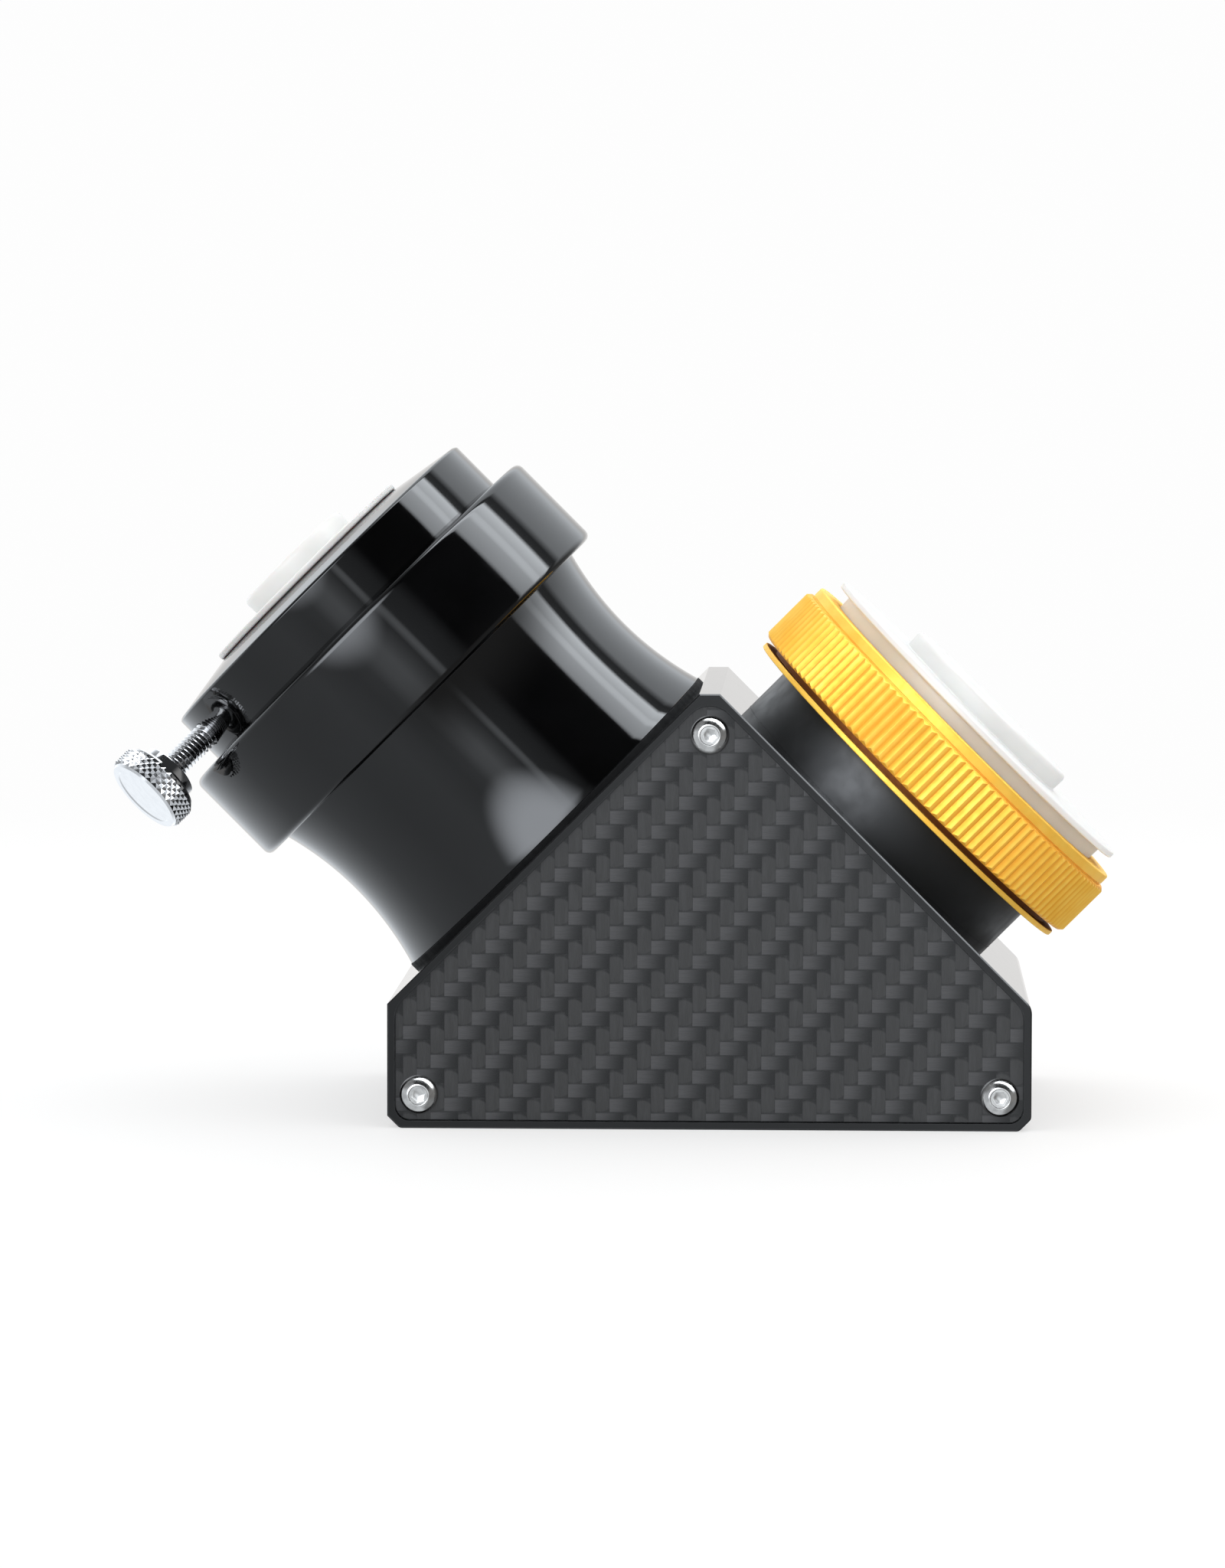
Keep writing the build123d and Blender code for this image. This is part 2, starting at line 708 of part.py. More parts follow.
with BuildPart() as coupling_ring:
    band_base = ring_back + coupling_lower_rim + coupling_groove_width
    band_top = band_base + coupling_band_length
    chamfer_in = coupling_band_radius - coupling_band_chamfer
    with BuildSketch(telescope_section):
        with BuildLine():
            Polyline(
                (nose_tube_radius + running_clearance, ring_back),
                (coupling_rim_radius, ring_back),
                (coupling_rim_radius, ring_back + coupling_lower_rim),
                (coupling_groove_radius, ring_back + coupling_lower_rim),
                (coupling_groove_radius, band_base),
                (chamfer_in, band_base),
                (coupling_band_radius, band_base + coupling_band_chamfer),
                (coupling_band_radius, band_top - coupling_band_chamfer),
                (chamfer_in, band_top),
                (coupling_rim_radius, band_top),
                (coupling_rim_radius, ring_mouth),
                (mouth_radius, ring_mouth),
                (mouth_radius, mouth_shoulder),
                (thread_minor_radius, mouth_shoulder),
                (thread_minor_radius, thread_start),
                (thread_relief_radius, thread_start),
                (thread_relief_radius, lip_front),
                (nose_neck_radius + running_clearance, lip_front),
                (nose_neck_radius + running_clearance, lip_back),
                (nose_tube_radius + running_clearance, lip_back),
                close=True,
            )
        make_face()
    revolve(axis=telescope_axis)
coupling_ring.part.label = "coupling_ring"

# ---------------------------------------------------------------- set screws
set_screw_groups = []
for group_name, direction, seat_radius in (
    ("holder_set_screws", eyepiece_direction, holder_spigot_radius),
    ("nose_set_screws", telescope_direction, nose_tube_radius),
):
    with BuildPart() as group:
        centre = crossing + direction * (face_station - set_screw_inset)
        for side in (-1, 1):
            tip = centre + Vector(0, side * (seat_radius + set_screw_gap), 0)
            with Locations(Plane(tip, x_dir=(1, 0, 0), z_dir=(0, side, 0))):
                add(set_screw())
    group.part.label = group_name
    set_screw_groups.append(group)

# ---------------------------------------------------------------- dust caps
with BuildPart() as eyepiece_cap:
    with BuildSketch(eyepiece_section):
        add(dust_cap_sketch(
            eyepiece_bore_radius - eyepiece_cap_fit,
            flange_top + cap_lift - eyepiece_cap_plug,
            flange_top + cap_lift,
            eyepiece_cap_radius,
            eyepiece_cap_boss_radius,
            eyepiece_cap_boss_height,
        ))
    revolve(axis=eyepiece_axis)
eyepiece_cap.part.label = "eyepiece_cap"

with BuildPart() as telescope_cap:
    with BuildSketch(telescope_section):
        add(dust_cap_sketch(
            mouth_radius - cap_fit,
            ring_mouth - telescope_cap_plug,
            ring_mouth + cap_lift,
            telescope_cap_radius,
            telescope_cap_boss_radius,
            telescope_cap_boss_height,
        ))
    revolve(axis=telescope_axis)
telescope_cap.part.label = "telescope_cap"

# ---------------------------------------------------------------- export
finished = [
    housing,
    *side_panels,
    *panel_screw_groups,
    mirror,
    mirror_pad,
    back_plate,
    back_plate_screws,
    holder_washer,
    eyepiece_holder,
    holder_compression_ring,
    holder_thumbscrew,
    adapter_body,
    adapter_compression_ring,
    adapter_thumbscrew,
    nose_tube,
    nose_flange,
    slip_washer,
    coupling_ring,
    *set_screw_groups,
    eyepiece_cap,
    telescope_cap,
]

os.makedirs("parts", exist_ok=True)
for piece in finished:
    export_step(piece.part, f"parts/{piece.part.label}.step")
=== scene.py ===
"""Star diagonal: its visible pieces and finishes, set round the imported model, in a plain studio.

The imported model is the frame. It gives the two light axes, the bodies and every internal piece.
The turned and knurled pieces that show are made here again at full detail, and the others keep
their CAD meshes and get a finish. Sizes in the classes are millimetres, stations are distances
along a light axis from the point where the two axes cross, and finished meshes are in metres.
"""
import json
import logging
import math
from dataclasses import dataclass
from enum import Enum
from typing import Mapping, Optional, Sequence

import bmesh
import bpy
from mathutils import Matrix, Vector
from mathutils.geometry import intersect_line_line


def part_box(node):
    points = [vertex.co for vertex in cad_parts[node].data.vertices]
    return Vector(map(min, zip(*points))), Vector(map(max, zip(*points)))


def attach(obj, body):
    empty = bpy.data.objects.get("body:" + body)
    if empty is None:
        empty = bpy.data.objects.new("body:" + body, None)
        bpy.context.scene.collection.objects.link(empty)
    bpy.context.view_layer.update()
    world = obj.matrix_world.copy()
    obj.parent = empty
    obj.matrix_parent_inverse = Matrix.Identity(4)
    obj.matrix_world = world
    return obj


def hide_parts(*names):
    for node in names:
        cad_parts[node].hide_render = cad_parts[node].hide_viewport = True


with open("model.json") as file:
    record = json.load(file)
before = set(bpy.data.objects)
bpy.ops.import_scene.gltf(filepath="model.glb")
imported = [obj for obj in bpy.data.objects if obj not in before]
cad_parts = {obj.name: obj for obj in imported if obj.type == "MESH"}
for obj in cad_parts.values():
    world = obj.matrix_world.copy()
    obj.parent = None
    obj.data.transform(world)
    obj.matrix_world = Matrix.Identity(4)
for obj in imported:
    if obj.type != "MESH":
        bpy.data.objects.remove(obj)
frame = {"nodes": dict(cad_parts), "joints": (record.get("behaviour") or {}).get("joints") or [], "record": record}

LOG = logging.getLogger("star_diagonal")
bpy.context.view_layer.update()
MM = 0.001
TURN = 2 * math.pi
STEPS = 192
SMALL_STEPS = 64
ROUND_SEGMENTS = 4
SHARP_ANGLE = math.radians(28)
WELD = 1e-5
SLACK = 0.0006

Corner = Sequence[float]
Pair = tuple[float, float]
Triple = tuple[float, float, float]
Socket = bpy.types.NodeSocket
Material = bpy.types.Material


class Slot(Enum):
    """The record's material slots."""

    BLACK = "black_anodised"
    SATIN = "satin_black"
    GOLD = "gold_anodised"
    CARBON = "carbon_fibre"
    STEEL = "stainless_steel"
    DARK_STEEL = "blackened_steel"
    PLATING = "bright_plating"
    BRASS = "brass"
    GLASS = "mirror_glass"
    RUBBER = "rubber_pad"
    SLIP = "slip_plastic"
    PLASTIC = "white_plastic"


class Body(Enum):
    """The bodies that the pieces made here ride on."""

    DIAGONAL = "diagonal"
    ADAPTER = "adapter"
    ADAPTER_SCREW = "adapter_screw"
    HOLDER_SCREW = "holder_screw"
    COUPLING = "coupling"
    EYEPIECE_CAP = "eyepiece_dust_cap"
    TELESCOPE_CAP = "telescope_dust_cap"


def shown(name: str, data: bpy.types.ID) -> bpy.types.Object:
    """A new object with that name and data, linked into the scene."""
    thing = bpy.data.objects.new(name, data)
    bpy.context.scene.collection.objects.link(thing)
    return thing


# ---- places
@dataclass(frozen=True)
class TurnAxis:
    """A turning axis: its start, in metres, and its direction."""

    origin: Vector
    direction: Vector

    def placement(self) -> Matrix:
        """The transform from millimetres about +Z to metres about this axis."""
        out = self.direction.normalized()
        side = Vector((0, 1, 0)) if abs(out.y) < 0.9 else Vector((1, 0, 0))
        across = side.cross(out).normalized()
        turn = Matrix((across, out.cross(across), out)).transposed().to_4x4()
        return Matrix.Translation(self.origin) @ turn @ Matrix.Scale(MM, 4)


def mount_line(name: str) -> TurnAxis:
    """The line that one of the record's mounts lies on.

    Args:
        name: the mount's name in the record.

    Returns:
        The axis through that mount.
    """
    mount = next(m for m in frame["record"]["mounts"] if m["name"] == name)
    return TurnAxis(Vector(mount["pos_m"]), Vector(mount["axis"]).normalized())


def joint_line(name: str) -> TurnAxis:
    """The axis of one of the record's hinges.

    Args:
        name: the joint's name in the record.

    Returns:
        The hinge's axis.
    """
    joint = next(j for j in frame["joints"] if j["name"] == name)
    return TurnAxis(Vector(joint["pos_m"]), Vector(joint["axis"]).normalized())


def light_axes() -> tuple[TurnAxis, TurnAxis]:
    """Finds where the two light axes cross.

    Returns:
        The eyepiece axis and the telescope axis, both starting at the crossing point.
    """
    eye, tele = mount_line("eyepiece_socket"), mount_line("telescope_thread")
    near, far = intersect_line_line(
        eye.origin, eye.origin + eye.direction, tele.origin, tele.origin + tele.direction
    )
    crossing = (near + far) / 2
    return TurnAxis(crossing, eye.direction), TurnAxis(crossing, tele.direction)


# ---- shapes
class Solid:
    """A closed shape in millimetres about its own +Z axis, grown with bmesh operators."""

    def __init__(self) -> None:
        self.bm = bmesh.new()

    @classmethod
    def turned(
        cls,
        corners: Sequence[Corner],
        steps: int = STEPS,
        closed: bool = True,
        bows: Optional[Mapping[int, float]] = None,
    ) -> "Solid":
        """Spins a profile round +Z.

        Args:
            corners: (radius, station) or (radius, station, rounding) of each corner in turn.
            steps: how many steps make the full turn.
            closed: whether the last corner joins the first; if not, both ends lie on the axis.
            bows: how far the edge after a corner bows towards the axis, by that corner's number.

        Returns:
            The turned solid.
        """
        solid = cls()
        bm = solid.bm
        verts = [bm.verts.new((corner[0], 0.0, corner[1])) for corner in corners]
        ends = verts[1:] + verts[:1] if closed else verts[1:]
        edges = [bm.edges.new(pair) for pair in zip(verts, ends)]
        for index, depth in (bows or {}).items():
            solid._bow(edges[index], depth)
        for offset in sorted({corner[2] for corner in corners if len(corner) > 2}):
            spots = [Vector((c[0], 0, c[1])) for c in corners if len(c) > 2 and c[2] == offset]
            group = [v for v in bm.verts if any((v.co - spot).length < WELD for spot in spots)]
            bmesh.ops.bevel(
                bm, geom=group, offset=offset, offset_type="OFFSET", segments=ROUND_SEGMENTS,
                profile=0.5, affect="VERTICES", material=-1,
            )
        bmesh.ops.spin(
            bm, geom=bm.verts[:] + bm.edges[:], cent=(0, 0, 0), axis=(0, 0, 1), dvec=(0, 0, 0),
            angle=TURN, steps=steps, use_merge=True, use_duplicate=False,
        )
        bmesh.ops.remove_doubles(bm, verts=bm.verts[:], dist=WELD)
        return solid

    @classmethod
    def coil(cls, root: float, crest: float, pitch: float, start: float, turns: float,
             steps: int = SMALL_STEPS) -> "Solid":
        """Winds a screw thread's ridge round +Z.

        Args:
            root: radius at the foot of the ridge.
            crest: radius at its top; inside the root for a nut's thread.
            pitch: advance in one turn.
            start: station where the ridge begins.
            turns: how many turns it makes.
            steps: steps in one turn.

        Returns:
            The ridge, capped at both ends.
        """
        solid = cls()
        bm = solid.bm
        flat = pitch / 16
        section = ((root, 0.0), (crest, pitch / 2 - flat), (crest, pitch / 2 + flat), (root, pitch))
        first = [bm.verts.new((radius, 0.0, start + rise)) for radius, rise in section]
        face = bm.faces.new(first)
        swept = bmesh.ops.spin(
            bm, geom=[face, *face.edges, *first], cent=(0, 0, 0), axis=(0, 0, 1),
            dvec=(0, 0, pitch / steps), angle=TURN * turns, steps=round(steps * turns),
            use_merge=False, use_duplicate=False,
        )
        last = [g for g in swept["geom_last"] if isinstance(g, bmesh.types.BMFace)]
        if not last:
            loop = [g for g in swept["geom_last"] if isinstance(g, bmesh.types.BMEdge)]
            bmesh.ops.contextual_create(bm, geom=loop)
        if not any(len(f.verts) == 4 and set(f.verts) == set(first) for f in bm.faces):
            bm.faces.new(first)
        return solid

    @classmethod
    def prism(cls, across_flats: float, low: float, high: float, sides: int = 6) -> "Solid":
        """A straight prism with regular sides between two stations.

        Args:
            across_flats: the distance between opposite sides.
            low: station of its lower end.
            high: station of its upper end.
            sides: how many sides it has.

        Returns:
            The prism.
        """
        solid = cls()
        radius = across_flats / 2 / math.cos(math.pi / sides)
        bmesh.ops.create_cone(
            solid.bm, cap_ends=True, segments=sides, radius1=radius, radius2=radius,
            depth=high - low, matrix=Matrix.Translation((0, 0, (low + high) / 2)),
        )
        return solid

    def _bow(self, edge: bmesh.types.BMEdge, depth: float, cuts: int = 23) -> None:
        """Bends one profile edge towards the axis by depth at its middle, as a shallow arc."""
        low, high = sorted((vert.co.z for vert in edge.verts))
        made = bmesh.ops.subdivide_edges(self.bm, edges=[edge], cuts=cuts, use_grid_fill=False)
        for vert in (g for g in made["geom_inner"] if isinstance(g, bmesh.types.BMVert)):
            share = (vert.co.z - low) / (high - low)
            vert.co.x -= depth * 4 * share * (1 - share)

    def moved(self, matrix: Matrix) -> "Solid":
        """This solid after a transform."""
        bmesh.ops.transform(self.bm, matrix=matrix, verts=self.bm.verts[:])
        return self

    def joined(self, other: "Solid") -> "Solid":
        """This solid with another's shell added to it, which is used up."""
        mesh = bpy.data.meshes.new("joining")
        other.bm.to_mesh(mesh)
        other.bm.free()
        self.bm.from_mesh(mesh)
        bpy.data.meshes.remove(mesh)
        return self

    def _loose_object(self, name: str) -> bpy.types.Object:
        """A temporary object with this shape, its faces turned outwards."""
        bmesh.ops.recalc_face_normals(self.bm, faces=self.bm.faces[:])
        mesh = bpy.data.meshes.new(name)
        self.bm.to_mesh(mesh)
        return shown(name, mesh)

    def cut(self, *tools: "Solid") -> "Solid":
        """Cuts other solids out of this one.

        Args:
            tools: the shapes to take away; they are used up.

        Returns:
            This solid.
        """
        things = [self._loose_object("cut_work")]
        for tool in tools:
            cutter = tool._loose_object("cut_tool")
            things.append(cutter)
            change = things[0].modifiers.new("cut", "BOOLEAN")
            change.operation, change.solver, change.object = "DIFFERENCE", "EXACT", cutter
            tool.bm.free()
        bpy.context.view_layer.update()
        graph = bpy.context.evaluated_depsgraph_get()
        result = bpy.data.meshes.new_from_object(things[0].evaluated_get(graph))
        self.bm.clear()
        self.bm.from_mesh(result)
        bpy.data.meshes.remove(result)
        for thing in things:
            mesh = thing.data
            bpy.data.objects.remove(thing)
            bpy.data.meshes.remove(mesh)
        return self

    def piece(self, name: str, node: str, body: Body, finish: Material, slot: Slot,
              axis: Optional[TurnAxis]) -> bpy.types.Object:
        """Turns the solid into a finished piece that rides on a body.

        Args:
            name: the piece's name.
            node: the CAD node that it stands for.
            body: the body it rides on.
            finish: its material.
            slot: the record's slot that the material stands for; it is not used.
            axis: the axis it is made about; None if it is in the frame's metres already.

        Returns:
            The finished object.
        """
        bm = self.bm
        if axis is not None:
            self.moved(axis.placement())
        bmesh.ops.recalc_face_normals(bm, faces=bm.faces[:])
        for face in bm.faces:
            face.smooth = True
        for edge in bm.edges:
            edge.smooth = len(edge.link_faces) == 2 and edge.calc_face_angle(0) < SHARP_ANGLE
        open_edges = sum(not edge.is_manifold for edge in bm.edges)
        mesh = bpy.data.meshes.new(name)
        bm.to_mesh(mesh)
        bm.free()
        mesh.materials.append(finish)
        thing = shown(name, mesh)
        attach(thing, body.value)
        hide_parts(node)
        LOG.info("%s: %d faces, %d open edges, outside by %.3f mm", name, len(mesh.polygons),
                 open_edges, self._outside(mesh, node))
        return thing

    @staticmethod
    def _outside(mesh: bpy.types.Mesh, node: str) -> float:
        """How far, in millimetres, the mesh's box lies outside its CAD node's box."""
        low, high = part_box(node)
        outside = 0.0
        for axis in range(3):
            places = [vert.co[axis] for vert in mesh.vertices]
            outside = max(outside, low[axis] - min(places), max(places) - high[axis])
        if outside > SLACK:
            LOG.warning("%s stands %.2f mm outside its CAD node", mesh.name, outside / MM)
        return outside / MM


# ---- finishes
class Shade:
    """One material's node tree, with a short call for each kind of node it needs."""

    def __init__(self, name: str, surface: Mapping[str, object]) -> None:
        self.material = bpy.data.materials.new(name)
        self.material.use_nodes = True
        self.tree = self.material.node_tree
        self.surface = self.tree.nodes["Principled BSDF"]
        for socket, value in surface.items():
            self.surface.inputs[socket].default_value = value
        metres = self.tree.nodes.new("ShaderNodeTexCoord").outputs["Object"]
        self.place = self.vector("SCALE", metres, scale=1 / MM)

    def _wire(self, node: bpy.types.Node, key: int | str, value: object) -> None:
        """Links a socket into a node's input, or sets the input's value."""
        if isinstance(value, Socket):
            self.tree.links.new(value, node.inputs[key])
        else:
            node.inputs[key].default_value = value

    def math(self, kind: str, first: object, second: object = 0.0) -> Socket:
        """A Math node's result."""
        node = self.tree.nodes.new("ShaderNodeMath")
        node.operation = kind
        self._wire(node, 0, first)
        self._wire(node, 1, second)
        return node.outputs[0]

    def times(self, first: object, second: object) -> Socket:
        """A product of two numbers."""
        return self.math("MULTIPLY", first, second)

    def less(self, first: object, second: object) -> Socket:
        """The first number less the second."""
        return self.math("SUBTRACT", first, second)

    def vector(self, kind: str, first: object, second: object = None,
               scale: Optional[float] = None) -> Socket:
        """A Vector Math node's result."""
        node = self.tree.nodes.new("ShaderNodeVectorMath")
        node.operation = kind
        self._wire(node, 0, first)
        if second is not None:
            self._wire(node, 1, second)
        if scale is not None:
            node.inputs["Scale"].default_value = scale
        return node.outputs["Value" if kind in ("DOT_PRODUCT", "LENGTH") else "Vector"]

    def split(self, vector: Socket) -> Sequence[Socket]:
        """The three numbers of a vector."""
        node = self.tree.nodes.new("ShaderNodeSeparateXYZ")
        self.tree.links.new(vector, node.inputs[0])
        return node.outputs

    def merge(self, x: object = 0.0, y: object = 0.0, z: object = 0.0) -> Socket:
        """A vector of three numbers."""
        node = self.tree.nodes.new("ShaderNodeCombineXYZ")
        for index, value in enumerate((x, y, z)):
            self._wire(node, index, value)
        return node.outputs[0]

    def noise(self, per_mm: float, detail: float = 3.0, stretch: Sequence[float] = (1, 1, 1),
              vector: Optional[Socket] = None) -> Socket:
        """Smooth noise.

        Args:
            per_mm: its scale, in cells per millimetre.
            detail: its finer layers.
            stretch: how much each axis is scaled first.
            vector: where it is read; the object's own place if None.

        Returns:
            The noise, from 0 to 1.
        """
        source = self.vector("MULTIPLY", vector or self.place, tuple(stretch))
        node = self.tree.nodes.new("ShaderNodeTexNoise")
        node.inputs["Scale"].default_value = per_mm
        node.inputs["Detail"].default_value = detail
        self.tree.links.new(source, node.inputs["Vector"])
        return node.outputs["Fac"]

    def span(self, value: Socket, low: float, high: float, start: float = 0.0,
             end: float = 1.0) -> Socket:
        """Maps low..high to start..end, clamped and eased."""
        node = self.tree.nodes.new("ShaderNodeMapRange")
        node.interpolation_type = "SMOOTHSTEP"
        for index, number in enumerate((low, high, start, end), start=1):
            node.inputs[index].default_value = number
        self.tree.links.new(value, node.inputs[0])
        return node.outputs[0]

    def blend(self, share: object, first: object, second: object, kind: str = "RGBA") -> Socket:
        """A colour between two others, or a number between two others if kind is FLOAT."""
        node = self.tree.nodes.new("ShaderNodeMix")
        node.data_type = kind
        form = "RGBA" if kind == "RGBA" else "VALUE"
        for key, value in (("Factor", share), ("A", first), ("B", second)):
            wanted = "VALUE" if key == "Factor" else form
            socket = next(s for s in node.inputs if s.name == key and s.type == wanted)
            if isinstance(value, Socket):
                self.tree.links.new(value, socket)
            else:
                socket.default_value = value if key == "Factor" else (*value, 1.0)
        return next(s for s in node.outputs if s.type == form)

    def bump(self, height: Socket, microns: float, under: Optional[Socket] = None) -> Socket:
        """A normal from a height of that many microns, on top of another normal if given."""
        node = self.tree.nodes.new("ShaderNodeBump")
        node.inputs["Strength"].default_value = 1.0
        node.inputs["Distance"].default_value = microns * 1e-6
        self.tree.links.new(height, node.inputs["Height"])
        if under is not None:
            self.tree.links.new(under, node.inputs["Normal"])
        return node.outputs[0]

    def edges(self, radius: float, softness: float = 0.12) -> Socket:
        """A mask that is 1 on edges sharper than a radius in millimetres.

        Args:
            radius: how far from the edge the mask reaches.
            softness: how much the normal turns before the mask is full.

        Returns:
            The mask, from 0 to 1.
        """
        bevel = self.tree.nodes.new("ShaderNodeBevel")
        bevel.samples = 4
        bevel.inputs["Radius"].default_value = radius * MM
        flat = self.tree.nodes.new("ShaderNodeNewGeometry").outputs["Normal"]
        turn = self.vector("DOT_PRODUCT", bevel.outputs[0], flat)
        return self.span(turn, 1.0, 1.0 - softness)

    def lines(self, axis: Optional[TurnAxis], per_mm: float) -> Socket:
        """Fine turning lines across an axis, or plain fine grain without one."""
        if axis is None:
            return self.noise(per_mm, 2.0)
        along = self.vector("DOT_PRODUCT", self.place, tuple(axis.direction))
        return self.noise(per_mm, 2.0, vector=self.merge(x=along))

    def cloudy(self, per_mm: float, detail: float, low: float = 0.3, high: float = 0.7,
               gloss: Pair = (0.0, 1.0)) -> Socket:
        """Smooth noise mapped from low..high to a gloss's two ends."""
        return self.span(self.noise(per_mm, detail), low, high, *gloss)

    def put(self, socket: str, value: Socket) -> None:
        """Links a value into the surface."""
        self.tree.links.new(value, self.surface.inputs[socket])


@dataclass(frozen=True)
class Anodised:
    """Anodised aluminium: a thin hard skin over machined metal, with a painted highlight along its edges."""

    name: str
    dark: Triple = (0.0006, 0.0006, 0.0007)
    pale: Triple = (0.0014, 0.0014, 0.0016)
    # Colour of the painted highlight along the edges
    edge: Triple = (0.030, 0.031, 0.034)
    gloss: Pair = (0.03, 0.065)
    grain_microns: float = 0.12
    line_microns: float = 0.10
    edge_reach: float = 0.16
    clouds_per_mm: float = 0.09
    grain_per_mm: float = 9.0
    lines_per_mm: float = 14.0
    edge_dulling: float = 0.12

    def material(self, axis: Optional[TurnAxis] = None) -> Material:
        """The finished material, with its turning lines across an axis if one is given."""
        shade = Shade(self.name, {"Metallic": 0.0, "Specular IOR Level": 0.5, "IOR": 1.5})
        clouds = shade.cloudy(self.clouds_per_mm, 3.0, 0.35, 0.65)
        skin = shade.blend(clouds, self.dark, self.pale)
        # Painted highlight: a paler colour along the edges; the same mask also dulls the gloss there
        pale_edge = shade.times(shade.edges(self.edge_reach),
                           shade.cloudy(0.7, 4.0, 0.35, 0.62, (0.35, 1.0)))
        shade.put("Base Color", shade.blend(pale_edge, skin, self.edge))
        smear = shade.cloudy(0.35, 5.0, gloss=self.gloss)
        shade.put("Roughness", shade.math("ADD", smear, shade.times(pale_edge, self.edge_dulling)))
        grain = shade.bump(shade.noise(self.grain_per_mm, 2.0), self.grain_microns)
        lines = shade.lines(axis, self.lines_per_mm)
        shade.put("Normal", shade.bump(lines, self.line_microns, grain))
        return shade.material


@dataclass(frozen=True)
class GoldAnodised:
    """Gold-dyed anodising over a fine bead-blasted surface."""

    name: str = "gold_anodised"
    deep: Triple = (0.96, 0.53, 0.055)
    light: Triple = (1.0, 0.63, 0.10)
    gloss: Pair = (0.50, 0.60)
    valley_shade: Triple = (0.90, 0.42, 0.03)
    undercut_shade: Triple = (0.23, 0.065, 0.005)
    pale_edge: Triple = (1.0, 0.66, 0.2)
    ridge: Pair = (31.34, 31.04)
    band_foot: Pair = (30.6, 30.8)
    slot: Pair = (41.35, 42.75)
    slot_mouth: Pair = (30.45, 29.9)
    blast_per_mm: float = 6.5
    blast_microns: float = 9.0

    def material(self, axis: TurnAxis) -> Material:
        """The finished material, round an axis, with painted shade between the ridges and in the groove below the
        grip band.
        """
        shade = Shade(self.name, {"Metallic": 0.55, "Specular IOR Level": 0.5})
        dye_and_shade = shade.blend(shade.cloudy(0.25, 4.0), self.deep, self.light)
        speck = shade.cloudy(7.0, 2.0, 0.25, 0.75)
        dye_and_shade = shade.blend(shade.times(speck, 0.35), dye_and_shade, self.light)
        out = shade.vector("SUBTRACT", shade.place, tuple(axis.origin * (1 / MM)))
        radius = shade.vector("LENGTH", shade.vector("CROSS_PRODUCT", out, tuple(axis.direction)))
        along = shade.vector("DOT_PRODUCT", out, tuple(axis.direction))
        # Painted shade: the colour deepens between the grip's ridges, by radius
        between = shade.times(shade.span(radius, *self.ridge),
                              shade.span(radius, *self.band_foot))
        dye_and_shade = shade.blend(between, dye_and_shade, self.valley_shade)
        # Painted shade: a dark brown in the groove below the grip band
        low, high = self.slot
        slot = shade.times(shade.span(along, low, low + 0.15), shade.span(along, high, high - 0.3))
        slot = shade.times(slot, shade.span(radius, *self.slot_mouth))
        dye_and_shade = shade.blend(slot, dye_and_shade, self.undercut_shade)
        rim = shade.times(shade.edges(0.1), 0.5)
        shade.put("Base Color", shade.blend(rim, dye_and_shade, self.pale_edge))
        shade.put("Roughness", shade.cloudy(1.1, 3.0, gloss=self.gloss))
        shade.put("Normal", shade.bump(shade.noise(self.blast_per_mm, 3.0), self.blast_microns))
        return shade.material


